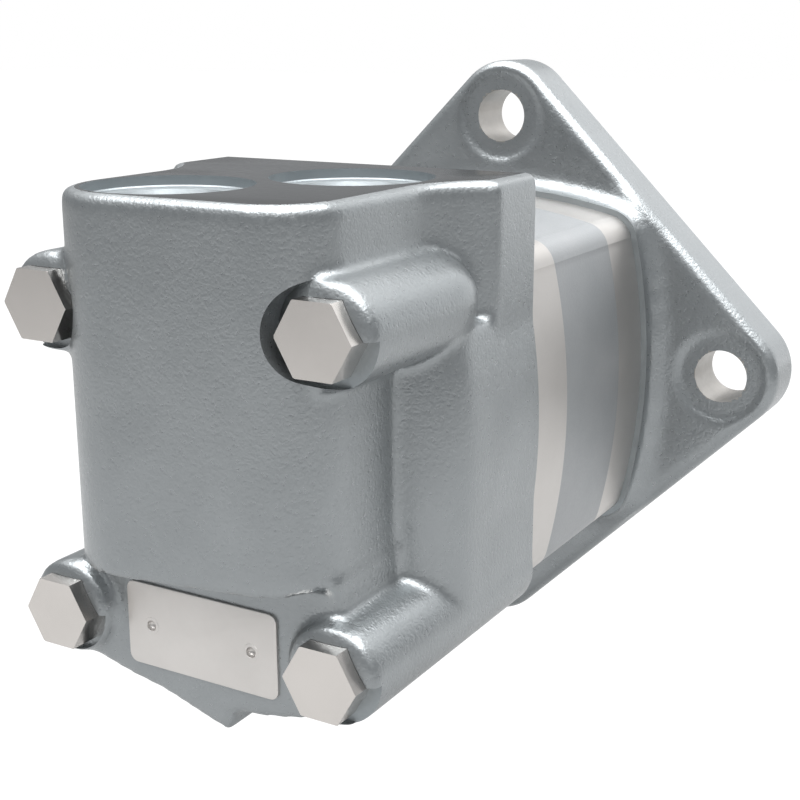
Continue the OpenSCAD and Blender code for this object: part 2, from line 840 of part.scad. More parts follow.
module balance_ring() {
    color(steel) lay() difference() {
        union() {
            ring(balance_z, balance_flange_t, balance_flange_r, balance_bore_r);
            ring(balance_z, balance_l, balance_sleeve_r, balance_bore_r);
        }
        at_balance_pins() translate([0, 0, balance_z + 1])
            cylinder(h = balance_flange_t + 2, r = balance_pin_r + 0.05);
    }
}

module balance_outer_seal() {
    color(rubber) lay() ring(web_z + 2 + seal_gap / 2, balance_seal_w,
        balance_sleeve_r + balance_seal_w, balance_sleeve_r + 0.02);
}

module balance_inner_seal() {
    color(rubber) lay() ring(spigot_z + 2 + seal_gap / 2, balance_seal_w,
        balance_bore_r - 0.02, balance_bore_r - balance_seal_w);
}

// A coned spring washer behind the balance ring
module balance_spring() {
    color(steel) lay() rotate_extrude() polygon([
        [balance_bore_r + 0.4, spring_z], [balance_bore_r + 0.4, spring_z + spring_t],
        [balance_sleeve_r - 0.4, spring_z + spring_rise],
        [balance_sleeve_r - 0.4, spring_z + spring_rise - spring_t]
    ]);
}

module output_shaft() {
    nose_z = -snout_l - shaft_l;
    shaft_end_z = rear_back_z + nut_t + 1;
    color(steel) lay() difference() {
        rotate_extrude() polygon([
            [0, nose_z], [shaft_d / 2 - 1.2, nose_z], [shaft_d / 2, nose_z + 1.2],
            [shaft_d / 2, -snout_l - 2.5], [journal_seal_r - 1.5, -snout_l - 2.5],
            [journal_seal_r, -snout_l - 1], [journal_seal_r, front_back_z],
            [journal_r, front_back_z], [journal_r, shaft_end_z], [0, shaft_end_z]
        ]);
        translate([0, 0, shaft_head_z - 13])
            cylinder(h = shaft_end_z - shaft_head_z + 14, r = bore_major_r + 0.1 - spline_h);
        spline_bore(shaft_head_z - main_head_l / 2 - 2, shaft_end_z - shaft_head_z + main_head_l);
        translate([0, 0, nose_z - 1]) cylinder(h = 24, r = 4);
        key_shape(0.02);
    }
}

// The key with round ends, grown by a gap
module key_shape(gap) {
    bottom = shaft_d / 2 - 4.4;
    middle = -snout_l - shaft_l / 2 - 1;
    run = key_l / 2 - key_w / 2;
    translate([0, bottom - gap, middle]) rotate([-90, 0, 0]) {
        for (s = [-1, 1]) translate([0, s * run, 0]) cylinder(h = key_w, r = key_w / 2 + gap);
        translate([-key_w / 2 - gap, -run, 0]) cube([key_w + 2 * gap, 2 * run, key_w]);
    }
}

module shaft_key() {
    color(machined) lay() key_shape(0);
}

module main_drive() {
    color(steel) lay() translate([0, 0, shaft_head_z]) rotate([-main_tilt, 0, 0])
        drive((star_main_z - shaft_head_z) / cos(main_tilt), main_head_l, main_head_l);
}

module drive_spacer() {
    color(machined) lay() translate([0, orbit_r, spacer_z])
        cylinder(h = spacer_t, r = bore_minor_r - 0.15);
}

module valve_drive() {
    color(steel) lay() translate([0, orbit_r, star_valve_z]) rotate([valve_tilt, 0, 0])
        drive((valve_head_z - star_valve_z) / cos(valve_tilt), valve_head_l, valve_head_l);
}

// Disc with pockets that open in turn to its rim and to its hub
module rotary_valve() {
    color(steel) lay() difference() {
        union() {
            translate([0, 0, valve_z]) cylinder(h = valve_t, r = valve_r);
            translate([0, 0, valve_z + valve_t]) cylinder(h = valve_hub_t, r = valve_hub_r);
        }
        spline_bore(valve_z - 1, valve_t + valve_hub_t + 2);
        for (i = [0 : 2 * lobes - 1]) rotate([0, 0, top + (i + 0.5) * 180 / lobes])
            translate([port_circle_r, 0, valve_z]) {
                translate([0, 0, -1]) cylinder(h = i % 2 == 0 ? 6 : valve_t + 2, r = 2.2);
                if (i % 2 == 0) translate([0, -2, 1.5]) cube([10, 4, 3.5]);
            }
    }
}

bearing_housing();
wear_plate();
geroler_ring();
valve_plate();
valve_housing();
cap_screws();
name_plate();
drive_screws();
section_seals();
front_bearing_cup();
rear_bearing_cup();
shaft_seal();
seal_washer();
seal_retainer();
dust_seal();
balance_ring();
balance_outer_seal();
balance_inner_seal();
balance_spring();
balance_pins();
output_shaft();
shaft_key();
front_bearing_cone();
rear_bearing_cone();
bearing_spacer();
bearing_nut();
front_bearing_cage();
front_bearing_rollers();
rear_bearing_cage();
rear_bearing_rollers();
drive_spacer();
star();
main_drive();
valve_drive();
rotary_valve();
for (i = [0 : rollers - 1])
    geroler_roller(i);
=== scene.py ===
"""Orbital hydraulic motor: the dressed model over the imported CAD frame.

Lengths are in millimetres along the motor's own axes until place() turns them into the frame:
x to the right as seen from behind, y up towards the ports, z back from the mounting face.
"""

import json
import logging
import math
from dataclasses import dataclass
from enum import Enum
from typing import Callable, Iterable, Sequence

import bpy
from mathutils import Matrix, Vector

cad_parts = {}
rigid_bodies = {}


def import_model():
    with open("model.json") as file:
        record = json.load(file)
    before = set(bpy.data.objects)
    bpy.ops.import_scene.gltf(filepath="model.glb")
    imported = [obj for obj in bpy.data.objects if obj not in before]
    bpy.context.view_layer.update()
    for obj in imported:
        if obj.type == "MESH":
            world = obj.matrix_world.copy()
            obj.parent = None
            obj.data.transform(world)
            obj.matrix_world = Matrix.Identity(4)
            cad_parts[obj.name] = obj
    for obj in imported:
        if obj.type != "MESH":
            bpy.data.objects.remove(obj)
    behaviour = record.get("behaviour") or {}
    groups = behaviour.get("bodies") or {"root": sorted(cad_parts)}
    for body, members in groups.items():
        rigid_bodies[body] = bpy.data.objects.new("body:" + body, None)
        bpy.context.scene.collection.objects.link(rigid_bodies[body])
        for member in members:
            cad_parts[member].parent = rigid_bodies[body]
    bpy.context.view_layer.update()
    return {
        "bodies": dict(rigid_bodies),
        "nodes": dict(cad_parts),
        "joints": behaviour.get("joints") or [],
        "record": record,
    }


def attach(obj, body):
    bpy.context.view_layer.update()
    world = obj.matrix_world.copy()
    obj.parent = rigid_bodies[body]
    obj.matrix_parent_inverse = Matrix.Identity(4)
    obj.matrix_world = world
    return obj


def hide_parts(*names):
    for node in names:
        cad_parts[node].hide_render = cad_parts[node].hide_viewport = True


log = logging.getLogger("orbital_motor")

Point = tuple[float, float]

# A millimetre in metres, and a hair's breadth in millimetres by which a test on places is eased.
MM = 0.001
HAIR = 0.01

# Half the width over the corners of a hex head that is 14.3 mm across its flats.
HEAD_CORNER = 14.3 / math.sqrt(3)


class View(Enum):
    """The side that an outline is drawn from."""

    BEHIND = "x and y, drawn out along z"
    ABOVE = "x and z, drawn out along y"


class Skin(Enum):
    """The finish of a casting's face: as it left the sand, machined flat, or bored."""

    CAST = 0
    FACED = 1
    BORED = 2


def place(x: float, y: float, z: float) -> Vector:
    """Turns a place on the motor's axes into the frame.

    Args:
        x: millimetres to the right, seen from behind.
        y: millimetres up.
        z: millimetres back from the mounting face.

    Returns:
        The same place in the frame, in metres.
    """
    return Vector((x * MM, -z * MM, y * MM))


def linear(code: str) -> tuple[float, float, float, float]:
    """Turns an sRGB hex colour into linear light.

    Args:
        code: six hex digits with a leading hash.

    Returns:
        Red, green, blue and full alpha.
    """
    shares = [int(code[i : i + 2], 16) / 255 for i in (1, 3, 5)]
    r, g, b = [s / 12.92 if s <= 0.04045 else ((s + 0.055) / 1.055) ** 2.4 for s in shares]
    return (r, g, b, 1.0)


def arc(x: float, y: float, r: float, start: float, end: float, steps: int) -> list[Point]:
    """Points on an arc, both ends among them.

    Args:
        x: centre, first coordinate.
        y: centre, second coordinate.
        r: radius.
        start: first angle in degrees.
        end: last angle in degrees.
        steps: number of stretches.

    Returns:
        The points in order.
    """
    turns = [math.radians(start + (end - start) * i / steps) for i in range(steps + 1)]
    return [(x + r * math.cos(a), y + r * math.sin(a)) for a in turns]


def turned(points: Iterable[Point], quarters: int) -> list[Point]:
    """Turns points about the origin.

    Args:
        points: the points.
        quarters: number of quarter turns, counter-clockwise.

    Returns:
        The turned points.
    """
    spun = list(points)
    for _ in range(quarters % 4):
        spun = [(-y, x) for x, y in spun]
    return spun


def shut(points: Sequence[Point]) -> list[Point]:
    """Leaves out points of a closed outline that repeat the one before.

    Args:
        points: the outline.

    Returns:
        The outline without repeats.
    """
    kept: list[Point] = []
    for p in points:
        if not kept or math.dist(p, kept[-1]) > 1e-4:
            kept.append(p)
    if math.dist(kept[0], kept[-1]) < 1e-4:
        kept.pop()
    return kept


class Bench:
    """Modelling steps by hand: primitives, edit mode, and modifiers that are applied."""

    @staticmethod
    def clear() -> None:
        """Leaves edit mode and selects nothing."""
        if bpy.context.object and bpy.context.object.mode != "OBJECT":
            bpy.ops.object.mode_set(mode="OBJECT")
        bpy.ops.object.select_all(action="DESELECT")

    @classmethod
    def take(cls, piece: bpy.types.Object) -> None:
        """Selects one piece alone and makes it active."""
        cls.clear()
        piece.select_set(True)
        bpy.context.view_layer.objects.active = piece

    @classmethod
    def edit(cls, piece: bpy.types.Object, mode: str = "VERT") -> None:
        """Opens a piece in edit mode with nothing selected.

        Args:
            piece: the piece.
            mode: VERT, EDGE or FACE.
        """
        cls.take(piece)
        bpy.ops.object.mode_set(mode="EDIT")
        bpy.ops.mesh.select_mode(type=mode)
        bpy.ops.mesh.select_all(action="DESELECT")
        bpy.ops.object.mode_set(mode="OBJECT")

    @staticmethod
    def tidy_mesh() -> None:
        """Merges doubles, drops loose edges and turns every face outwards, in edit mode."""
        bpy.ops.mesh.select_all(action="SELECT")
        bpy.ops.mesh.remove_doubles(threshold=2e-6)
        bpy.ops.mesh.select_all(action="SELECT")
        bpy.ops.mesh.delete_loose(use_verts=True, use_edges=True, use_faces=False)
        bpy.ops.mesh.select_all(action="SELECT")
        bpy.ops.mesh.normals_make_consistent(inside=False)
        bpy.ops.object.mode_set(mode="OBJECT")

    @classmethod
    def prism(
        cls, points: Sequence[Point], low: float, high: float, side: View = View.BEHIND
    ) -> bpy.types.Object:
        """A solid with a drawn outline.

        Args:
            points: the outline in order.
            low: where it starts along its own axis.
            high: where it ends.
            side: the side that the outline is drawn from.

        Returns:
            The new piece.
        """
        outline = shut(points)
        cls.clear()
        bpy.ops.mesh.primitive_circle_add(vertices=len(outline), radius=MM, fill_type="NGON")
        piece = bpy.context.object
        for vertex, (a, b) in zip(piece.data.vertices, outline):
            vertex.co = place(a, b, low) if side is View.BEHIND else place(a, low, b)
        reach = place(0, 0, high - low) if side is View.BEHIND else place(0, high - low, 0)
        bpy.ops.object.mode_set(mode="EDIT")
        bpy.ops.mesh.select_all(action="SELECT")
        bpy.ops.mesh.extrude_region_move(TRANSFORM_OT_translate={"value": reach})
        cls.tidy_mesh()
        return piece

    @classmethod
    def lathe(
        cls,
        profile: Sequence[Point],
        at: Vector = Vector((0.0, 0.0, 0.0)),
        along: Vector = Vector((0.0, -1.0, 0.0)),
        steps: int = 96,
    ) -> bpy.types.Object:
        """A turned solid: a closed profile spun round an axis.

        Args:
            profile: radius and distance along the axis, in order, in millimetres.
            at: the axis's origin in the frame.
            along: the axis's direction in the frame.
            steps: number of facets in a turn.

        Returns:
            The new piece.
        """
        outline = shut(profile)
        across = along.orthogonal().normalized()
        cls.clear()
        bpy.ops.mesh.primitive_circle_add(vertices=len(outline), radius=MM, fill_type="NOTHING")
        piece = bpy.context.object
        for vertex, (r, h) in zip(piece.data.vertices, outline):
            vertex.co = at + across * (r * MM) + along * (h * MM)
        bpy.ops.object.mode_set(mode="EDIT")
        bpy.ops.mesh.select_all(action="SELECT")
        bpy.ops.mesh.spin(steps=steps, angle=2 * math.pi, center=at, axis=along)
        bpy.ops.mesh.select_all(action="SELECT")
        bpy.ops.mesh.remove_doubles(threshold=2e-6)
        bpy.ops.mesh.select_all(action="SELECT")
        bpy.ops.mesh.dissolve_degenerate(threshold=1e-7)
        cls.tidy_mesh()
        return piece

    @classmethod
    def rod(
        cls, x: float, y: float, r: float, low: float, high: float, steps: int
    ) -> bpy.types.Object:
        """A plain round bar along the motor's axis, most often used as a drill.

        Args:
            x: its place.
            y: its place.
            r: its radius.
            low: where it starts.
            high: where it ends.
            steps: number of facets in a turn.

        Returns:
            The new piece.
        """
        return cls.lathe([(0, low), (r, low), (r, high), (0, high)], place(x, y, 0), steps=steps)

    @classmethod
    def ease(
        cls,
        piece: bpy.types.Object,
        picked: Callable[[Vector, Vector], bool],
        width: float,
        steps: int = 5,
    ) -> None:
        """Rounds the edges that a test picks by the places of their two ends.

        Args:
            piece: the piece.
            picked: the test, on both ends in the frame in metres.
            width: width of the rounding in millimetres.
            steps: number of facets across it.
        """
        cls.edit(piece, "EDGE")
        mesh = piece.data
        for edge in mesh.edges:
            a, b = (mesh.vertices[i].co for i in edge.vertices)
            edge.select = picked(a, b)
        bpy.ops.object.mode_set(mode="EDIT")
        bpy.ops.mesh.bevel(
            offset_type="OFFSET", offset=width * MM, segments=steps, affect="EDGES",
            clamp_overlap=False,
        )
        cls.tidy_mesh()

    @classmethod
    def join(cls, name: str, pieces: Sequence[bpy.types.Object]) -> bpy.types.Object:
        """Puts several pieces into one object.

        Args:
            name: the new name.
            pieces: the pieces, of which the first one stays.

        Returns:
            The joined piece.
        """
        cls.clear()
        for piece in pieces:
            piece.select_set(True)
        bpy.context.view_layer.objects.active = pieces[0]
        if len(pieces) > 1:
            bpy.ops.object.join()
        pieces[0].name = name
        pieces[0].data.name = name
        return pieces[0]

    @classmethod
    def finish_with(cls, piece: bpy.types.Object, kind: str, **settings: object) -> None:
        """Adds a modifier and applies it.

        Args:
            piece: the piece.
            kind: the modifier's type.
            settings: its properties.
        """
        cls.take(piece)
        modifier = piece.modifiers.new(kind.lower(), kind)
        for key, value in settings.items():
            setattr(modifier, key, value)
        bpy.ops.object.modifier_apply(modifier=modifier.name)

    @classmethod
    def cut(
        cls, piece: bpy.types.Object, cutter: bpy.types.Object, operation: str = "DIFFERENCE"
    ) -> None:
        """Cuts a piece with another one, or joins it, and uses the other one up.

        Args:
            piece: the piece.
            cutter: the tool.
            operation: DIFFERENCE, UNION or INTERSECT.
        """
        cls.finish_with(
            piece, "BOOLEAN", operation=operation, object=cutter, solver="MANIFOLD"
        )
        bpy.data.objects.remove(cutter)

    @classmethod
    def face_off(cls, piece: bpy.types.Object, at: Vector, outwards: Vector) -> None:
        """Mills a piece flat and closes the cut.

        Args:
            piece: the piece.
            at: a place on the plane.
            outwards: the side that is milled away.
        """
        cls.take(piece)
        bpy.ops.object.mode_set(mode="EDIT")
        bpy.ops.mesh.select_all(action="SELECT")
        bpy.ops.mesh.bisect(
            plane_co=at, plane_no=outwards, use_fill=True, clear_outer=True, threshold=1e-6
        )
        bpy.ops.object.mode_set(mode="OBJECT")

    @classmethod
    def cast(cls, piece: bpy.types.Object, grid: float, passes: int) -> None:
        """Runs overlapping solids into one, with the soft edges and fillets of a casting.

        Args:
            piece: the joined solids.
            grid: size of the voxels in millimetres.
            passes: how often the skin is smoothed.
        """
        cls.finish_with(piece, "REMESH", mode="VOXEL", voxel_size=grid * MM, adaptivity=0.0)
        cls.finish_with(piece, "SMOOTH", factor=0.5, iterations=passes)

    @classmethod
    def polish(cls, piece: bpy.types.Object, angle: float = 28.0) -> bpy.types.Object:
        """Shades a piece smooth up to an angle.

        Args:
            piece: the piece.
            angle: the sharpest edge that still shades smooth, in degrees.

        Returns:
            The same piece.
        """
        cls.take(piece)
        bpy.ops.object.shade_smooth_by_angle(angle=math.radians(angle))
        cls.clear()
        return piece

    @staticmethod
    def coat(
        piece: bpy.types.Object,
        materials: Sequence[bpy.types.Material],
        choose: Callable[[Vector, Vector], int] | None = None,
    ) -> None:
        """Gives a piece its materials.

        Args:
            piece: the piece.
            materials: the materials in slot order.
            choose: the slot of a face, from its centre and normal in the frame.
        """
        piece.data.materials.clear()
        for material in materials:
            piece.data.materials.append(material)
        if choose:
            for face in piece.data.polygons:
                face.material_index = choose(face.center, face.normal)


def add_node(
    tree: bpy.types.NodeTree, kind: str, inputs: dict[str | int, object], **settings: object
) -> bpy.types.Node:
    """Adds a node with its settings and links.

    Args:
        tree: the node tree.
        kind: the node's type.
        inputs: a value, or an output socket to link, for each input.
        settings: the node's own properties.

    Returns:
        The new node.
    """
    node = tree.nodes.new(kind)
    for key, value in settings.items():
        setattr(node, key, value)
    for key, value in inputs.items():
        if isinstance(value, bpy.types.NodeSocket):
            tree.links.new(value, node.inputs[key])
        else:
            node.inputs[key].default_value = value
    return node


def ramp(tree: bpy.types.NodeTree, factor: object, stops: Sequence[tuple[float, tuple]]) -> object:
    """Adds a colour ramp.

    Args:
        tree: the node tree.
        factor: the socket that it reads.
        stops: place and colour of each stop.

    Returns:
        The ramp's colour socket.
    """
    node = add_node(tree, "ShaderNodeValToRGB", {"Fac": factor})
    while len(node.color_ramp.elements) < len(stops):
        node.color_ramp.elements.new(0.5)
    for element, (position, colour) in zip(node.color_ramp.elements, stops):
        element.position = position
        element.color = colour
    return node.outputs["Color"]


@dataclass(frozen=True)
class GrainedSkin:
    """A finish with a grain in its skin, as casting, blasting, grinding or a mould leaves."""

    name: str
    dark: str
    light: str
    metallic: float
    roughness: float
    rough_spread: float
    grain_mm: float
    grain_depth_mm: float
    fine_mm: float
    fine_depth_mm: float
    blotch_mm: float = 14.0

    def material(self) -> bpy.types.Material:
        """Builds the material.

        Returns:
            The material, with its pattern on Object coordinates.
        """
        made = bpy.data.materials.new(self.name)
        made.use_nodes = True
        tree = made.node_tree
        tree.nodes.clear()
        where = add_node(tree, "ShaderNodeTexCoord", {}).outputs["Object"]
        blotch = add_node(
            tree, "ShaderNodeTexNoise",
            {"Vector": where, "Scale": 1 / (self.blotch_mm * MM), "Detail": 3.0,
             "Roughness": 0.55},
        )
        grain = add_node(
            tree, "ShaderNodeTexNoise",
            {"Vector": where, "Scale": 1 / (self.grain_mm * MM), "Detail": 2.0,
             "Roughness": 0.5, "Distortion": 0.3},
        )
        fine = add_node(
            tree, "ShaderNodeTexNoise",
            {"Vector": where, "Scale": 1 / (self.fine_mm * MM), "Detail": 1.0, "Roughness": 0.5},
        )
        mixed = add_node(
            tree, "ShaderNodeMapRange",
            {"Value": blotch.outputs["Fac"], "From Min": 0.3, "From Max": 0.7},
        )
        colour = ramp(
            tree, mixed.outputs["Result"],
            [(0.0, linear(self.dark)), (1.0, linear(self.light))],
        )
        roughness = add_node(
            tree, "ShaderNodeMapRange",
            {"Value": grain.outputs["Fac"], "From Min": 0.3, "From Max": 0.7,
             "To Min": self.roughness - self.rough_spread,
             "To Max": self.roughness + self.rough_spread},
        )
        first = add_node(
            tree, "ShaderNodeBump",
            {"Height": grain.outputs["Fac"], "Strength": 1.0,
             "Distance": self.grain_depth_mm * MM},
        )
        second = add_node(
            tree, "ShaderNodeBump",
            {"Height": fine.outputs["Fac"], "Strength": 1.0,
             "Distance": self.fine_depth_mm * MM, "Normal": first.outputs["Normal"]},
        )
        shader = add_node(
            tree, "ShaderNodeBsdfPrincipled",
            {"Base Color": colour, "Metallic": self.metallic,
             "Roughness": roughness.outputs["Result"], "Normal": second.outputs["Normal"]},
        )
        add_node(tree, "ShaderNodeOutputMaterial", {"Surface": shader.outputs["BSDF"]})
        return made


# The grains of machined and moulded faces are finer than a picture of the motor can show, so
# they are drawn at 0.25 to 1.6 mm, as coarse as they need to be to show.

# Grey iron, sand cast, blasted and oiled: a matt sheen over an orange-peel grain of about a
# millimetre, which glints white along edges that face the light.
CAST_IRON = GrainedSkin(
    "cast_grey_iron_blasted", dark="#8e9294", light="#94989a", metallic=0.8, roughness=0.31,
    rough_spread=0.04, grain_mm=0.9, grain_depth_mm=0.09, fine_mm=0.45, fine_depth_mm=0.025,
)

# The same iron, milled: flat, almost even and the glossiest of its faces. Its colour is painted darker
# than the cast skin, as painted shade for the dim room that the flat top mirrors when seen at a low
# angle.
MILLED_IRON_PAINTED_DARK = GrainedSkin(
    "cast_grey_iron_milled_painted_dark", dark="#5c5c5c", light="#606060", metallic=0.9, roughness=0.16,
    rough_spread=0.03, grain_mm=1.6, grain_depth_mm=0.004, fine_mm=0.4, fine_depth_mm=0.002,
)

# The same iron, turned with a coarse feed, in the ports and on the flange: a cool, soft gloss.
TURNED_IRON = GrainedSkin(
    "cast_grey_iron_turned", dark="#8f9598", light="#999fa2", metallic=0.85, roughness=0.42,
    rough_spread=0.05, grain_mm=1.0, grain_depth_mm=0.03, fine_mm=0.4, fine_depth_mm=0.01,
)

# The same iron, bored or drilled: warmer and brighter, with a soft gloss.
BORED_IRON = GrainedSkin(
    "cast_grey_iron_bored", dark="#a19e9a", light="#aeaba7", metallic=0.9, roughness=0.38,
    rough_spread=0.04, grain_mm=1.2, grain_depth_mm=0.006, fine_mm=0.4, fine_depth_mm=0.003,
)

# Steel plate, surface ground: bright and even, with a soft blur.
GROUND_STEEL = GrainedSkin(
    "steel_surface_ground", dark="#bcb9b6", light="#c4c1be", metallic=1.0, roughness=0.38,
    rough_spread=0.02, grain_mm=0.8, grain_depth_mm=0.003, fine_mm=0.25, fine_depth_mm=0.002,
    blotch_mm=25.0,
)

# Sintered iron, tumbled: an even grey with a fine grain and little gloss.
SINTERED_IRON = GrainedSkin(
    "iron_sintered_tumbled", dark="#989b9d", light="#9ea0a2", metallic=0.85, roughness=0.46,
    rough_spread=0.03, grain_mm=0.7, grain_depth_mm=0.03, fine_mm=0.35, fine_depth_mm=0.012,
)

# Alloy steel screws with a bright zinc plating: pale, even, softly glossy.
ZINC_SCREW = GrainedSkin(
    "alloy_steel_zinc_plated", dark="#c8c4c0", light="#cdc9c5", metallic=1.0, roughness=0.24,
    rough_spread=0.015, grain_mm=1.5, grain_depth_mm=0.002, fine_mm=0.4, fine_depth_mm=0.001,
)

# Rolled aluminium sheet, clear anodised: pale and satin.
PLATE_ALUMINIUM = GrainedSkin(
    "aluminium_sheet_anodised", dark="#c8c5c2", light="#cecbc8", metallic=0.9, roughness=0.36,
    rough_spread=0.03, grain_mm=0.9, grain_depth_mm=0.003, fine_mm=0.3, fine_depth_mm=0.002,
)

# Hardened steel, turned and ground, for the shaft, races and rollers: bright and glossy.
HARD_STEEL = GrainedSkin(
    "steel_hardened_ground", dark="#b4b5b6", light="#c4c5c6", metallic=1.0, roughness=0.22,
    rough_spread=0.04, grain_mm=0.7, grain_depth_mm=0.003, fine_mm=0.3, fine_depth_mm=0.002,
)

# Sheet steel, pressed and phosphated, for cages, spring and retaining ring: dark and dull.
PRESSED_STEEL = GrainedSkin(
    "steel_sheet_phosphated", dark="#7c7a74", light="#8d8a83", metallic=0.8, roughness=0.42,
    rough_spread=0.05, grain_mm=0.6, grain_depth_mm=0.008, fine_mm=0.3, fine_depth_mm=0.004,
)

# Nitrile rubber, moulded: near black, with a dull sheen.
NITRILE = GrainedSkin(
    "nitrile_rubber_moulded", dark="#1f2021", light="#2a2b2c", metallic=0.0, roughness=0.55,
    rough_spread=0.06, grain_mm=0.8, grain_depth_mm=0.01, fine_mm=0.3, fine_depth_mm=0.005,
)


@dataclass
class Sections:
    """Sizes that the motor's sections share: screw square, outline, planes, name plate."""

    screw_at: float = 33.05
    bulge_at: float = -103.1
    bulge_r: float = 147.0
    corner_r: float = 6.9
    corner_turn: float = 13.64
    pad_z: float = 19.4
    geroler_z: float = 34.8
    valve_plate_z: float = 66.5
    housing_z: float = 81.9
    seat_z: float = 148.4
    screw_hole_r: float = 5.21
    plate_z: float = 147.5
    plate_y: float = -33.7
    rivet_x: float = 12.7

    def body(self, rim: float = 0.0, fine: int = 16) -> list[Point]:
        """Outline of the plates: four bulged sides and a round corner at each screw.

        Args:
            rim: how far it is grown outwards.
            fine: stretches along each bulged side.

        Returns:
            The outline.
        """
        side = arc(self.bulge_at, 0, self.bulge_r + rim, -self.corner_turn, self.corner_turn, fine)
        corner = arc(
            self.screw_at, self.screw_at, self.corner_r + rim, self.corner_turn,
            90 - self.corner_turn, 8,
        )
        return [p for q in range(4) for p in turned(side + corner, q)]

    def at_screws(self) -> list[Point]:
        """Places of the four cap screws."""
        s = self.screw_at
        return [(s, s), (-s, s), (-s, -s), (s, -s)]


@dataclass
class ValveHousing:
    """The cast valve housing: port column, front band, deep sides, screw bosses, belly, drain."""

    shared: Sections

    # Each port's x, z and the height of its floor.
    ports: tuple[tuple[float, float, float], ...] = ((11.4, 106.5, 33.0), (-12.6, 136.4, 6.0))
    port_face_h: float = 56.3
    port_bore_r: float = 10.2
    port_cone_r: tuple[float, float] = (11.1, 12.6)
    port_cone_depth: float = 5.3
    port_seat_r: float = 17.35
    port_seat_depth: float = 2.3
    port_seat_fillet: float = 0.3
    thread_pitch: float = 1.8
    thread_depth: float = 0.55

    # Lengths without thread at a port's floor and at its mouth.
    thread_ends: tuple[float, float] = (3.0, 8.0)

    # Radius and depth along the profile of the chamber that the valve turns in, and the radius
    # and depth within which a face belongs to each of its steps.
    chamber: tuple[Point, ...] = (
        (0, 80), (35.5, 80), (35.5, 101.95), (26.06, 101.95), (26.06, 110.2),
        (20.94, 110.2), (20.94, 99.95), (12, 99.95), (12, 143.4), (0, 143.4),
    )
    chamber_reach: tuple[Point, ...] = ((35.6, 102.0), (26.2, 110.3), (12.1, 143.5))

    # The front band, and the part of the plates' outline that it takes up.
    band_half: float = 41.8
    band_z: float = 99.5
    outline_top: float = 26.0

    # The deep sides: the arc that each covers in degrees, how far it stays inside the lower boss,
    # where it ends inside the casting, and the x beyond which its edges are rounded.
    side_z: float = 124.5
    side_edge: float = 13.0
    side_turn: tuple[float, float] = (-6.0, 11.0)
    side_inset: float = 0.3
    side_core: float = 20.0
    side_outer: float = 38.0

    # The port column, its two round rear corners, and the neck that widens it to the band.
    column_left: float = -33.4
    column_right: float = 32.4
    column_z: float = 157.2
    column_left_r: float = 20.8
    column_right_r: float = 14.0
    column_drop: float = 19.2
    column_slope: float = 4.6
    column_top: float = 20.0
    head_low: float = 14.0
    head_edge: float = 2.0
    neck_r: float = 22.0
    neck_z: float = 117.5

    # The screw bosses: the dome that ends an upper one, the rim round a head, and the pocket, the
    # flat and the hexagon that are cut there, with the room that each leaves.
    boss_r: float = 10.3
    dome_z: float = 115.0
    dome_l: float = 14.0
    rim_h: float = 2.9
    rim_drop: float = 1.1
    rim_crest_r: float = 7.0
    pocket_r: float = 9.9
    pocket_rise: float = 0.5
    pocket_room: float = 0.3
    flat_r: tuple[float, float] = (9.6, 11.2)
    head_room: float = 0.06
    screw_bore_z: float = 78.0
    clear_z: float = 175.0

    # The belly under the column, and how far the two overlap.
    belly_h: float = 49.0
    belly_r: float = 95.0
    belly_inset: float = 1.4
    belly_rise: float = 8.0
    belly_shoulder: float = 5.0
    overlap: float = 4.0

    # The boss of the case drain, on axes of its own that lean from upright by some degrees.
    drain_w: float = 22.0
    drain_at: float = 10.2
    drain_h: float = 49.7
    drain_tall: float = 16.0
    drain_lean: float = 17.0
    drain_bore_r: float = 4.95
    drain_bore_l: float = 14.0
    drain_mouth_r: float = 6.2
    drain_cone_l: float = 1.6

    # Holes of the drive screws.
    rivet_hole_r: float = 1.2
    rivet_hole_z: float = 140.5

    # Metal that milling takes off, and the grid and smoothing of the cast skin.
    spare: float = 6.0
    milled_off: float = 0.1
    grid: float = 0.9
    passes: int = 12

    @property
    def front(self) -> float:
        """Where the raw casting starts, with spare metal ahead of the milled face."""
        return self.shared.housing_z - self.spare

    def column(self) -> bpy.types.Object:
        """The lower part of the port column, whose lower edge slopes."""
        outline = [
            (self.column_left, self.front), (self.column_right, self.front), *self.rear_corners(),
        ]
        piece = Bench.prism(outline, -self.column_drop, self.column_top, View.ABOVE)
        rise = math.tan(math.radians(self.column_slope))
        for vertex in piece.data.vertices:
            if vertex.co.z < 0:
                vertex.co.z += vertex.co.x * rise
        return piece

    def rear_corners(self) -> list[Point]:
        """The column's two round rear corners, seen from above, from right to left."""
        right, left = self.column_right_r, self.column_left_r
        return [
            *arc(self.column_right - right, self.column_z - right, right, 0, 90, 14),
            *arc(self.column_left + left, self.column_z - left, left, 90, 180, 18),
        ]

    def port_head(self) -> bpy.types.Object:
        """The upper part of the column, which widens to the band in two long hollow curves."""
        r, band = self.neck_r, self.band_half
        right = math.degrees(math.acos((self.column_right + r - band) / r))
        left = math.degrees(math.acos((r - self.column_left - band) / r))
        outline = [
            (-band, self.front), (band, self.front),
            *arc(self.column_right + r, self.neck_z, r, 180 + right, 180, 12),
            *self.rear_corners(),
            *arc(self.column_left - r, self.neck_z, r, 0, -left, 12),
        ]
        top = self.port_face_h + self.milled_off
        piece = Bench.prism(outline, self.head_low, top, View.ABOVE)
        limit = place(0, top - HAIR, 0).z
        Bench.ease(piece, lambda a, b: min(a.z, b.z) > limit, self.head_edge, 4)
        return piece

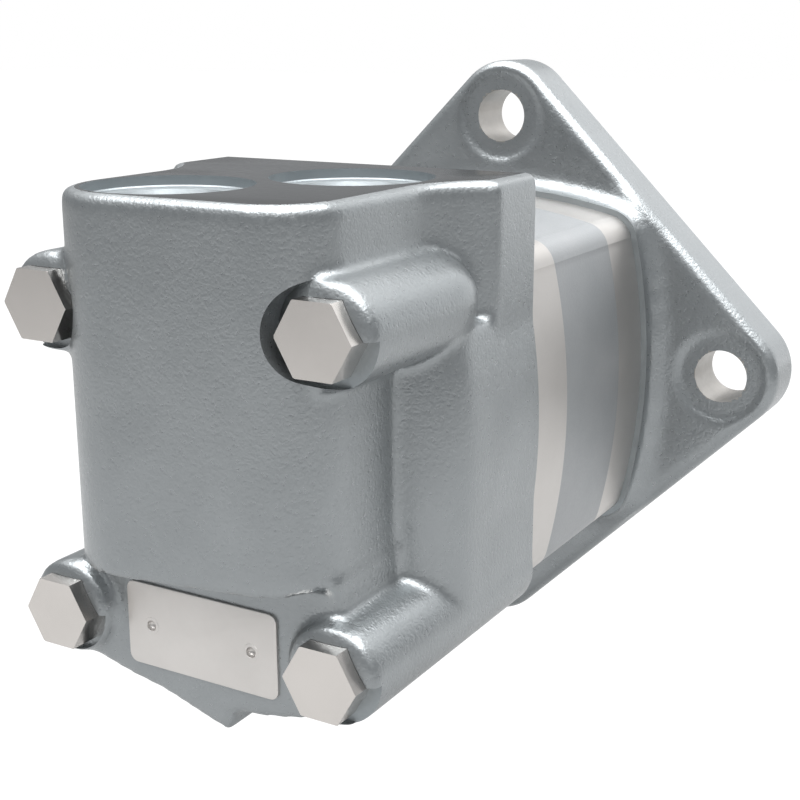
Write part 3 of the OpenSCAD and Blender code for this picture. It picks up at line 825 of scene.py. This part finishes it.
    def deep_side(self, side: int) -> bpy.types.Object:
        """A bulged side between the upper and the lower boss.

        Args:
            side: 1 on the right, -1 on the left.

        Returns:
            The solid.
        """
        shared, low = self.shared, -self.shared.screw_at
        edge = arc(shared.bulge_at, 0, shared.bulge_r, *self.side_turn, 16)
        outline = [
            (self.side_core, low), (shared.screw_at + self.boss_r - self.side_inset, low),
            *edge, (self.side_core, edge[-1][1]),
        ]
        piece = Bench.prism(outline, self.front, self.side_z)
        outer = place(self.side_outer, 0, 0).x
        rear = place(0, 0, self.side_z - HAIR).y
        Bench.ease(
            piece, lambda a, b: min(a.x, b.x) > outer and max(a.y, b.y) < rear, self.side_edge, 8
        )
        if side < 0:
            for vertex in piece.data.vertices:
                vertex.co.x = -vertex.co.x
            piece.data.flip_normals()
        return piece

    def boss(self, x: float, y: float) -> bpy.types.Object:
        """A boss round a cap screw, with a cast rim round the head.

        The lower ones run to the front. The upper ones end in a dome on the neck.

        Args:
            x: the screw's place.
            y: the screw's place.

        Returns:
            The solid.
        """
        r, rim = self.boss_r, self.shared.seat_z + self.rim_h
        if y < 0:
            start = [(0, self.front), (r, self.front)]
        else:
            start = [(r * math.sin(a), self.dome_z - self.dome_l * math.cos(a))
                     for a in (math.radians(15 * k) for k in range(7))]
        profile = [*start, (r, rim - self.rim_drop), (self.rim_crest_r, rim), (0, rim)]
        return Bench.lathe(profile, place(x, y, 0), steps=72)

    def belly(self) -> bpy.types.Object:
        """The belly behind the name plate."""
        s, r = self.shared.screw_at, self.belly_r
        turn = math.degrees(math.asin((s - self.belly_inset) / r))
        top, side = self.overlap - self.column_drop, self.belly_rise - s
        outline = [
            *arc(0, r - self.belly_h, r, 270 - turn, 270 + turn, 24),
            (s, side), (s, top), (self.column_left + self.belly_shoulder, top), (-s, side),
        ]
        return Bench.prism(outline, self.front, self.shared.plate_z)

    def drain_place(self, x: float, y: float, z: float) -> Vector:
        """Turns a place on the drain boss's own axes into the frame.

        Args:
            x: sideways from the middle of the motor, before the lean.
            y: up, before the lean.
            z: back from the mounting face.

        Returns:
            The place in the frame.
        """
        lean = math.radians(-self.drain_lean)
        return place(
            x * math.cos(lean) - y * math.sin(lean), x * math.sin(lean) + y * math.cos(lean), z
        )

    def drain(self) -> bpy.types.Object:
        """The square boss of the case drain."""
        left, right = self.drain_at - self.drain_w / 2, self.drain_at + self.drain_w / 2
        low, high = -self.drain_h, self.drain_tall - self.drain_h
        corners = [(left, low), (right, low), (right, high), (left, high)]
        leaned = [self.drain_place(x, y, 0) for x, y in corners]
        rear = self.shared.plate_z
        return Bench.prism([(p.x / MM, p.z / MM) for p in leaned], rear - self.drain_w, rear)

    def blank(self) -> bpy.types.Object:
        """The raw casting, with spare metal where it is machined.

        Returns:
            The casting.
        """
        shared, band, top = self.shared, self.band_half, self.column_top
        solids = [
            self.column(), self.port_head(),
            Bench.prism([(-band, 0), (band, 0), (band, top), (-band, top)], self.front, self.band_z),
            Bench.prism(
                [p for p in shared.body() if p[1] < self.outline_top], self.front, self.band_z
            ),
            self.deep_side(1), self.deep_side(-1), self.belly(), self.drain(),
            *[self.boss(x, y) for x, y in shared.at_screws()],
        ]
        piece = Bench.join("valve_housing_casting", solids)
        Bench.cast(piece, self.grid, self.passes)
        return piece

    def port(self, x: float, z: float, floor: float) -> bpy.types.Object:
        """The tool that cuts a port: sunk face, seal seat, threaded bore.

        Args:
            x: the port's place.
            z: the port's place.
            floor: height at which the bore ends.

        Returns:
            The cutter.
        """
        top, r, seat_r = self.port_face_h, self.port_bore_r, self.port_seat_r
        cone, mouth = self.port_cone_r
        sunk, cone_h = top - self.port_seat_depth, top - self.port_cone_depth
        thread = []
        level = floor + self.thread_ends[0]
        while level < top - self.thread_ends[1]:
            thread += [(r, level), (r + self.thread_depth, level + self.thread_pitch / 2)]
            level += self.thread_pitch
        profile = [
            (0, floor), (r, floor), *thread, (r, level), (r, cone_h), (cone, cone_h), (mouth, sunk),
            (seat_r - self.port_seat_fillet, sunk), (seat_r, sunk + self.port_seat_fillet),
            (seat_r, top + self.spare), (0, top + self.spare),
        ]
        return Bench.lathe(profile, place(x, 0, z), Vector((0, 0, 1)), 96)

    def screw_seat(self, x: float, y: float) -> list[bpy.types.Object]:
        """The tools that clear a screw: pocket for the rim, flat below the head, head, bore.

        Args:
            x: the screw's place.
            y: the screw's place.

        Returns:
            The cutters.
        """
        seat, r, end = self.shared.seat_z, self.pocket_r, self.clear_z
        crest = seat + self.rim_h + self.pocket_room
        side = math.copysign(1, x)
        inner_r, outer_r = self.flat_r
        flat = arc(0, 0, inner_r, 180, 266, 10) + arc(0, 0, outer_r, 305, 360, 8)
        hexagon = arc(0, 0, HEAD_CORNER + self.head_room, 0, 300, 5)
        pocket = [
            (0, crest), (self.rim_crest_r, crest), (r, crest - self.rim_drop), (r, end), (0, end),
        ]
        return [
            Bench.lathe(pocket, place(x, y + self.pocket_rise, 0), steps=72),
            Bench.prism([(x + side * a, y + b) for a, b in flat], seat, end),
            Bench.prism([(x + a, y + b) for a, b in hexagon], seat, end),
            Bench.rod(x, y, self.shared.screw_hole_r, self.screw_bore_z, seat + 1, 72),
        ]

    def machine(self, piece: bpy.types.Object) -> None:
        """Mills and bores the raw casting.

        Args:
            piece: the casting.
        """
        shared = self.shared
        Bench.face_off(piece, place(0, 0, shared.housing_z), Vector((0, 1, 0)))
        Bench.face_off(piece, place(0, self.port_face_h, 0), Vector((0, 0, 1)))
        tools = [Bench.lathe(self.chamber), *[self.port(*port) for port in self.ports]]
        for x, y in shared.at_screws():
            tools += self.screw_seat(x, y)
        down = self.drain_place(0, 1, 0) - self.drain_place(0, 0, 0)
        mouth = self.drain_place(self.drain_at, -self.drain_h, shared.plate_z - self.drain_w / 2)
        r, end = self.drain_bore_r, self.drain_bore_l
        tools.append(Bench.lathe([
            (0, -3), (self.drain_mouth_r, -3), (self.drain_mouth_r, 0), (r, self.drain_cone_l),
            (r, end), (0, end),
        ], mouth, down.normalized(), 48))
        for x in (-shared.rivet_x, shared.rivet_x):
            tools.append(Bench.rod(x, shared.plate_y, self.rivet_hole_r, self.rivet_hole_z, 150, 24))
        for tool in tools:
            Bench.cut(piece, tool)

    def skin(self, centre: Vector, normal: Vector) -> int:
        """Chooses the finish of a face.

        Args:
            centre: the face's centre.
            normal: its normal; not used.

        Returns:
            The number of the finish.
        """
        x, y, z = centre.x / MM, centre.z / MM, -centre.y / MM
        # Milled top and front: on this housing their finish is the milled iron painted dark, as
        # painted shade.
        if y > self.port_face_h - 0.02 or z < self.shared.housing_z + 0.02:
            return Skin.FACED.value
        seat_h = self.port_face_h - self.port_seat_depth - 0.1
        deepest = min(floor for _, _, floor in self.ports) - 0.1
        for port_x, port_z, _ in self.ports:
            reach = math.hypot(x - port_x, z - port_z)
            if reach < self.port_seat_r + 0.05 and y > seat_h:
                return Skin.BORED.value
            if reach < self.port_cone_r[1] + 0.2 and y > deepest:
                return Skin.BORED.value
        for limit, end in self.chamber_reach:
            if math.hypot(x, y) < limit and z < end:
                return Skin.BORED.value
        for screw_x, screw_y in self.shared.at_screws():
            reach = math.hypot(x - screw_x, y - screw_y)
            if reach < self.shared.screw_hole_r + 0.09 and z < self.shared.seat_z:
                return Skin.BORED.value
        return Skin.CAST.value

    def build(self, materials: Sequence[bpy.types.Material]) -> bpy.types.Object:
        """Casts, machines and dresses the housing.

        Args:
            materials: one for each Skin, in its order.

        Returns:
            The piece.
        """
        piece = self.blank()
        self.machine(piece)
        Bench.coat(piece, materials, self.skin)
        return Bench.polish(piece)


@dataclass
class BearingHousing:
    """The cast bearing housing: flange on its corner, pad, pilot and snout."""

    shared: Sections
    hole_at: float = 63.5
    hole_r: float = 6.75
    corner_r: float = 14.3
    flange_t: float = 15.0
    edge: float = 3.0
    bolt_seat_r: float = 11.9
    bolt_seat_depth: float = 0.8
    bolt_seat_lean: float = 0.3

    # The pad, whose fillet is built in layers that stay inside a fence round the flange's edge.
    pad_rim: float = 1.5
    pad_h: float = 4.4
    pad_lift: float = 0.25
    pad_fence: float = 0.8
    milled_off: float = 1.5
    core_z: float = 5.0
    spare: float = 4.0

    # The turned front.
    pilot_r: float = 50.8
    pilot_h: float = 9.5
    pilot_edge: float = 1.0
    snout_r: float = 40.0
    snout_l: float = 49.3
    snout_edge: float = 1.5
    snout_root: float = 2.0

    # The bore, the ring's groove measured from the nose, and the rib between the bearings.
    bore_r: float = 34.0
    bore_end: float = 22.0
    groove_depth: float = 1.6
    groove_from: float = 5.0
    groove_to: float = 6.8
    rib_h: float = 6.0
    rib_from: float = -13.3
    rib_to: float = -7.3

    # Holes of the cap screws, where every drill ends, and the grid and smoothing of the cast skin.
    screw_hole_r: float = 4.78
    screw_hole_z: float = 2.4
    clear_z: float = 25.0
    grid: float = 0.85
    passes: int = 4

    def flange_outline(self, rim: float = 0.0) -> list[Point]:
        """Outline of the flange, a square that stands on its corner.

        Args:
            rim: how far it is grown outwards.

        Returns:
            The outline.
        """
        corner = arc(self.hole_at, 0, self.corner_r + rim, -45, 45, 16)
        return [p for q in range(4) for p in turned(corner, q)]

    def hole_places(self) -> list[Point]:
        """Places of the four mounting holes."""
        return [p for q in range(4) for p in turned([(self.hole_at, 0)], q)]

    def blank(self) -> bpy.types.Object:
        """The raw casting of flange and pad.

        Returns:
            The casting.
        """
        rear, low = self.flange_t, self.core_z
        flange = Bench.prism(self.flange_outline(), -self.spare, rear)
        limit = place(0, 0, rear - HAIR).y
        Bench.ease(flange, lambda a, b: max(a.y, b.y) < limit, self.edge, 5)
        r, seat, end = self.bolt_seat_r, rear - self.bolt_seat_depth, self.clear_z
        for x, y in self.hole_places():
            Bench.cut(flange, Bench.lathe([
                (0, seat), (r, seat), (r + self.bolt_seat_lean, end), (0, end),
            ], place(x, y, 0), steps=64))
        solids = [
            flange,
            Bench.prism(self.shared.body(self.pad_rim), low, self.shared.pad_z + self.milled_off),
        ]
        for a in (math.radians(15 * k) for k in range(6)):
            rise, rim = self.pad_h * (1 - math.cos(a)), self.pad_h * (1 - math.sin(a))
            layer = Bench.prism(self.shared.body(self.pad_rim + rim), low, rear + rise + self.pad_lift)
            fence = Bench.prism(self.flange_outline(-self.pad_fence), 0, 2 * rear)
            Bench.cut(layer, fence, "INTERSECT")
            solids.append(layer)
        piece = Bench.join("bearing_housing_casting", solids)
        Bench.cast(piece, self.grid, self.passes)
        return piece

    def snout(self) -> bpy.types.Object:
        """The turned front: pilot and bearing snout.

        Returns:
            The solid.
        """
        r, pilot = self.snout_r, self.pilot_r
        nose, step, edge = -self.snout_l, -self.pilot_h, self.pilot_edge
        return Bench.lathe([
            (0, nose), (r - self.snout_edge, nose), (r, nose + self.snout_edge),
            (r, step - self.snout_root), (r + self.snout_root, step), (pilot - edge, step),
            (pilot, step + edge), (pilot, 0), (pilot - edge, self.core_z), (0, self.core_z),
        ], steps=128)

    def bore(self) -> bpy.types.Object:
        """The tool that bores the housing for its bearings, seal and retaining ring.

        Returns:
            The cutter.
        """
        nose, r, end = -self.snout_l, self.bore_r, self.bore_end
        start, stop, wide = nose + self.groove_from, nose + self.groove_to, r + self.groove_depth
        return Bench.lathe([
            (0, nose - 2), (r + 2, nose - 2), (r + 1, nose - 1), (r, nose), (r, start),
            (wide, start), (wide, stop), (r, stop), (r, self.rib_from),
            (r - self.rib_h, self.rib_from), (r - self.rib_h, self.rib_to), (r, self.rib_to),
            (r, end), (0, end),
        ], steps=128)

    def skin(self, centre: Vector, normal: Vector) -> int:
        """Chooses the finish of a face.

        Args:
            centre: the face's centre.
            normal: its normal; not used.

        Returns:
            The number of the finish.
        """
        x, y, z = centre.x / MM, centre.z / MM, -centre.y / MM
        if z < 0.02 or z > self.shared.pad_z - 0.02:
            return Skin.FACED.value
        if math.hypot(x, y) < self.bore_r + 2:
            return Skin.BORED.value
        for hole_x, hole_y in self.hole_places():
            if math.hypot(x - hole_x, y - hole_y) < self.hole_r + 0.15:
                return Skin.BORED.value
        return Skin.CAST.value

    def build(self, materials: Sequence[bpy.types.Material]) -> bpy.types.Object:
        """Casts, machines and dresses the housing.

        Args:
            materials: one for each Skin, in its order.

        Returns:
            The piece.
        """
        piece = self.blank()
        Bench.face_off(piece, place(0, 0, 0), Vector((0, 1, 0)))
        Bench.face_off(piece, place(0, 0, self.shared.pad_z), Vector((0, -1, 0)))
        Bench.cut(piece, self.snout(), "UNION")
        Bench.cut(piece, self.bore())
        for x, y in self.hole_places():
            Bench.cut(piece, Bench.rod(x, y, self.hole_r, -3, self.clear_z, 72))
        for x, y in self.shared.at_screws():
            Bench.cut(
                piece, Bench.rod(x, y, self.screw_hole_r, self.screw_hole_z, self.clear_z, 48)
            )
        Bench.coat(piece, materials, self.skin)
        return Bench.polish(piece)


@dataclass(frozen=True)
class Opening:
    """What goes through a plate: a bore, and holes on a circle round it."""

    bore_r: float
    bore_steps: int = 96
    holes: int = 0
    hole_r: float = 0.0
    hole_steps: int = 24
    circle_r: float = 0.0
    first_deg: float = 90.0


@dataclass
class Plates:
    """The three sections between the castings: wear plate, geroler ring, valve plate."""

    shared: Sections
    wear: Opening = Opening(bore_r=14.5)
    ring: Opening = Opening(
        bore_r=30.8, bore_steps=128, holes=9, hole_r=6.43, hole_steps=48, circle_r=31.0
    )
    valve: Opening = Opening(bore_r=12.5, holes=9, hole_r=2.4, circle_r=27.4, first_deg=110.0)
    past: float = 2.0

    def section(self, name: str, low: float, high: float, opening: Opening) -> bpy.types.Object:
        """A plate with its outline, opening and screw holes.

        Args:
            name: the piece's name.
            low: where it starts.
            high: where it ends.
            opening: what goes through it.

        Returns:
            The piece.
        """
        piece = Bench.prism(self.shared.body(fine=40), low, high)
        piece.name = name
        start, end = low - self.past, high + self.past
        tool = Bench.rod(0, 0, opening.bore_r, start, end, opening.bore_steps)
        for i in range(opening.holes):
            a = math.radians(opening.first_deg + 360 / opening.holes * i)
            x, y = opening.circle_r * math.cos(a), opening.circle_r * math.sin(a)
            hole = Bench.rod(x, y, opening.hole_r, start, end, opening.hole_steps)
            Bench.cut(tool, hole, "UNION")
        Bench.cut(piece, tool)
        for x, y in self.shared.at_screws():
            Bench.cut(piece, Bench.rod(x, y, self.shared.screw_hole_r, start, end, 48))
        return piece

    def build(
        self, ground: bpy.types.Material, sintered: bpy.types.Material
    ) -> list[tuple[bpy.types.Object, str, str]]:
        """Builds the three sections.

        Args:
            ground: finish of the two plates.
            sintered: finish of the ring.

        Returns:
            Each piece with the node that it stands for and its material slot.
        """
        s = self.shared
        rows = (
            ("wear_plate_ground", "wear_plate", "machined", s.pad_z, s.geroler_z, self.wear),
            ("geroler_ring_sintered", "geroler_ring", "steel", s.geroler_z, s.valve_plate_z,
             self.ring),
            ("valve_plate_ground", "valve_plate", "machined", s.valve_plate_z, s.housing_z,
             self.valve),
        )
        made = []
        for name, node, slot, low, high, opening in rows:
            piece = self.section(name, low, high, opening)
            Bench.coat(piece, [sintered if opening is self.ring else ground])
            made.append((Bench.polish(piece, 20), node, slot))
        return made


@dataclass
class CapScrews:
    """The four hex cap screws that hold the sections together."""

    shared: Sections
    head_h: float = 6.2
    corner_break: float = 0.15
    break_h: float = 0.4
    shank_r: float = 4.76
    tip_z: float = 4.4
    tip_edge: float = 1.0

    def screw(self) -> bpy.types.Object:
        """One screw on the motor's axis: hex head with just broken corners, and shank.

        Returns:
            The piece.
        """
        seat, tip, edge = self.shared.seat_z, self.tip_z, self.tip_edge
        top, wide = seat + self.head_h, HEAD_CORNER + 0.5
        head = Bench.prism(arc(0, 0, HEAD_CORNER, 0, 300, 5), seat, top)
        Bench.cut(head, Bench.lathe([
            (0, seat - 1), (HEAD_CORNER - 0.5, seat - 1), (wide, seat + 1),
            (wide, top - self.break_h), (HEAD_CORNER - self.corner_break, top), (0, top),
        ], steps=96), "INTERSECT")
        Bench.cut(head, Bench.lathe([
            (0, tip), (self.shank_r - edge, tip), (self.shank_r, tip + edge),
            (self.shank_r, seat + 0.5), (0, seat + 0.5),
        ], steps=64), "UNION")
        return head

    def build(self, finish: bpy.types.Material) -> bpy.types.Object:
        """Builds one screw and copies it to the four places.

        Args:
            finish: the screws' finish.

        Returns:
            The piece with all four.
        """
        model = self.screw()
        copies = []
        for x, y in self.shared.at_screws():
            copy = model.copy()
            copy.data = model.data.copy()
            bpy.context.scene.collection.objects.link(copy)
            copy.data.transform(Matrix.Translation(place(x, y, 0)))
            copies.append(copy)
        bpy.data.objects.remove(model)
        piece = Bench.join("cap_screws_plated", copies)
        Bench.coat(piece, [finish])
        return Bench.polish(piece, 25)


@dataclass
class NamePlate:
    """The bare name plate and its two hollow drive screws."""

    shared: Sections
    thickness: float = 0.6
    width: float = 38.0
    height: float = 18.4
    corner_r: float = 2.0
    edge: float = 0.2
    hole_r: float = 1.3
    shank_r: float = 1.17
    shank_l: float = 6.0

    # Radius, and height over the plate, along the profile of a drive screw's hollow head.
    head: tuple[Point, ...] = (
        (1.27, 0), (1.85, 0), (1.8, 0.06), (1.2, 0.06), (1.12, 0), (1.06, -0.3), (0.86, -0.68),
        (0.5, -0.95), (0, -1.05),
    )

    def build(self, sheet: bpy.types.Material) -> list[tuple[bpy.types.Object, str, str]]:
        """Builds the plate and the screws.

        Args:
            sheet: finish of both.

        Returns:
            Each piece with the node that it stands for and its material slot.
        """
        seat, at_y = self.shared.plate_z, self.shared.plate_y
        top, r = seat + self.thickness, self.corner_r
        x, y = self.width / 2 - r, self.height / 2 - r
        corners = [(x, y, 0), (-x, y, 90), (-x, -y, 180), (x, -y, 270)]
        plate = Bench.prism(
            [(px, py + at_y) for cx, cy, a in corners for px, py in arc(cx, cy, r, a, a + 90, 8)],
            seat, top,
        )
        limit = place(0, 0, top - HAIR).y
        Bench.ease(plate, lambda a, b: max(a.y, b.y) < limit, self.edge, 3)
        heads = []
        for at_x in (-self.shared.rivet_x, self.shared.rivet_x):
            Bench.cut(plate, Bench.rod(at_x, at_y, self.hole_r, seat - 2.5, seat + 2.5, 32))
            heads.append(Bench.lathe([
                (0, seat - self.shank_l), (self.shank_r, seat - self.shank_l),
                (self.shank_r, seat), (self.head[0][0], seat),
                *[(radius, top + h) for radius, h in self.head],
            ], place(at_x, at_y, 0), steps=48))
        plate.name = "name_plate_anodised"
        screws = Bench.join("drive_screws_plated", heads)
        Bench.coat(plate, [sheet])
        Bench.coat(screws, [sheet])
        return [(Bench.polish(plate), "name_plate", "machined"),
                (Bench.polish(screws), "drive_screws", "machined")]


@dataclass
class Studio:
    """Camera, soft lamps and a pale floor.

    The room is dim up to one height of the sky and white from another. The floor's share of white
    light is what only the camera sees.
    """

    lens_mm: float = 62.068
    eye: tuple[float, float, float] = (165.429, -350.045, 86.001)
    turn_deg: tuple[float, float, float] = (74.90721, 0.11109, 30.33021)
    floor_z: float = -150.0
    floor_colour: str = "#a8a8a8"
    floor_white: float = 1.2
    floor_share: float = 0.8
    horizon: str = "#888a8c"
    horizon_end: float = 0.3
    white_from: float = 0.65
    room_light: float = 1.3
    sensor_mm: float = 36.0

    def camera(self) -> None:
        """Stands the camera where the photograph was taken."""
        data = bpy.data.cameras.new("camera")
        data.lens = self.lens_mm
        data.sensor_width = self.sensor_mm
        data.clip_start = 0.01
        camera = bpy.data.objects.new("camera", data)
        bpy.context.scene.collection.objects.link(camera)
        camera.location = Vector(self.eye) * MM
        camera.rotation_euler = [math.radians(a) for a in self.turn_deg]
        bpy.context.scene.camera = camera

    def lamp(
        self, name: str, at: tuple[float, float, float], size: float, watts: float
    ) -> None:
        """Hangs a square soft lamp that faces the motor.

        Args:
            name: the lamp's name.
            at: its place in metres.
            size: its side in metres.
            watts: its power.
        """
        data = bpy.data.lights.new(name, "AREA")
        data.size = size
        data.energy = watts
        lamp = bpy.data.objects.new(name, data)
        bpy.context.scene.collection.objects.link(lamp)
        lamp.location = at
        aim = Vector((0.0, -0.06, 0.0)) - lamp.location
        lamp.rotation_euler = aim.to_track_quat("-Z", "Y").to_euler()

    def floor(self) -> None:
        """Lays the floor, white to the camera apart from the motor's shadow."""
        Bench.clear()
        bpy.ops.mesh.primitive_plane_add(size=12, location=(0, 0, self.floor_z * MM))
        floor = bpy.context.object
        floor.name = "floor"
        material = bpy.data.materials.new("pale_floor")
        material.use_nodes = True
        tree = material.node_tree
        tree.nodes.clear()
        matt = add_node(tree, "ShaderNodeBsdfDiffuse", {"Color": linear(self.floor_colour)})
        white = add_node(
            tree, "ShaderNodeEmission",
            {"Color": linear("#ffffff"), "Strength": self.floor_white},
        )
        path = add_node(tree, "ShaderNodeLightPath", {})
        seen = add_node(
            tree, "ShaderNodeMath", {0: path.outputs["Is Camera Ray"], 1: self.floor_share},
            operation="MULTIPLY",
        )
        mix = add_node(
            tree, "ShaderNodeMixShader",
            {0: seen.outputs["Value"], 1: matt.outputs["BSDF"], 2: white.outputs["Emission"]},
        )
        add_node(tree, "ShaderNodeOutputMaterial", {"Surface": mix.outputs["Shader"]})
        floor.data.materials.append(material)

    def world(self) -> None:
        """Fills the room with soft light, and shows it white to the camera."""
        world = bpy.data.worlds.new("soft_room")
        bpy.context.scene.world = world
        world.use_nodes = True
        tree = world.node_tree
        tree.nodes.clear()
        path = add_node(tree, "ShaderNodeLightPath", {})
        where = add_node(tree, "ShaderNodeTexCoord", {})
        split = add_node(
            tree, "ShaderNodeSeparateXYZ", {"Vector": where.outputs["Generated"]}
        )
        dim, bright = linear(self.horizon), linear("#ffffff")
        stops = [(0.0, dim), (self.horizon_end, dim), (self.white_from, bright)]
        sky = ramp(tree, split.outputs["Z"], stops)
        room = add_node(
            tree, "ShaderNodeBackground", {"Color": sky, "Strength": self.room_light}
        )
        white = add_node(tree, "ShaderNodeBackground", {"Color": bright, "Strength": 1.0})
        mix = add_node(
            tree, "ShaderNodeMixShader",
            {0: path.outputs["Is Camera Ray"], 1: room.outputs["Background"],
             2: white.outputs["Background"]},
        )
        add_node(tree, "ShaderNodeOutputWorld", {"Surface": mix.outputs["Shader"]})

    def build(self) -> None:
        """Sets up camera, lamps, floor and room."""
        self.camera()
        self.lamp("overhead", at=(0.0, -0.1, 0.9), size=1.5, watts=32.0)
        self.lamp("far right", at=(0.4, 1.1, 0.3), size=1.0, watts=3.0)
        self.floor()
        self.world()
        bpy.context.scene.view_settings.view_transform = "Standard"


class Motor:
    """The whole motor: builds the sub-assemblies and dresses the CAD nodes that stay."""

    def __init__(self, frame: dict) -> None:
        """Keeps the frame and makes the finishes.
        """
        self.nodes = frame["nodes"]
        self.shared = Sections()
        self.cast = CAST_IRON.material()
        # The milled finish is painted dark: painted shade for the dim reflection on the flat top.
        self.milled = MILLED_IRON_PAINTED_DARK.material()
        self.bored = BORED_IRON.material()
        self.turned = TURNED_IRON.material()
        self.ground = GROUND_STEEL.material()
        self.sintered = SINTERED_IRON.material()
        self.zinc = ZINC_SCREW.material()
        self.sheet = PLATE_ALUMINIUM.material()
        self.hard = HARD_STEEL.material()
        self.pressed = PRESSED_STEEL.material()
        self.rubber = NITRILE.material()

    def stand_for(self, piece: bpy.types.Object, node: str) -> None:
        """Puts a piece in the place of a CAD node.

        Args:
            piece: the piece.
            node: the node's name.
        """
        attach(piece, "housing")
        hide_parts(node)
        log.info("%s: %d faces", piece.name, len(piece.data.polygons))

    def dress_nodes(self) -> None:
        """Gives every CAD node that stays a finish."""
        finishes = {
            self.rubber: ("section_seals", "shaft_seal", "dust_seal", "balance_outer_seal",
                          "balance_inner_seal"),
            self.pressed: ("front_bearing_cage", "rear_bearing_cage", "seal_retainer",
                           "seal_washer", "balance_spring"),
            self.zinc: ("cap_screws", "drive_screws"),
            self.sheet: ("name_plate",),
            self.ground: ("wear_plate", "valve_plate", "drive_spacer", "rotary_valve"),
            self.sintered: ("geroler_ring", "star", "balance_ring"),
            self.cast: ("bearing_housing", "valve_housing"),
        }
        chosen = {name: finish for finish, names in finishes.items() for name in names}
        for name, node in self.nodes.items():
            finish = chosen.get(name, self.hard)
            if not node.material_slots:
                node.data.materials.append(finish)
            for slot in node.material_slots:
                slot.material = finish
            log.info("%s: %s", name, finish.name)

    def build(self) -> None:
        """Builds everything in order."""
        self.dress_nodes()
        valve = ValveHousing(self.shared).build([self.cast, self.milled, self.turned])
        bearing = BearingHousing(self.shared).build([self.cast, self.turned, self.bored])
        self.stand_for(valve, "valve_housing")
        self.stand_for(bearing, "bearing_housing")
        for piece, node, slot in Plates(self.shared).build(self.ground, self.sintered):
            self.stand_for(piece, node)
        self.stand_for(CapScrews(self.shared).build(self.zinc), "cap_screws")
        for piece, node, slot in NamePlate(self.shared).build(self.sheet):
            self.stand_for(piece, node)


def main() -> None:
    """Loads the frame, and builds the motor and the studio."""
    logging.basicConfig(level=logging.INFO, format="%(name)s: %(message)s")
    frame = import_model()
    bpy.ops.object.select_all(action="DESELECT")
    Motor(frame).build()
    Studio().build()


if __name__ == "__main__":
    main()
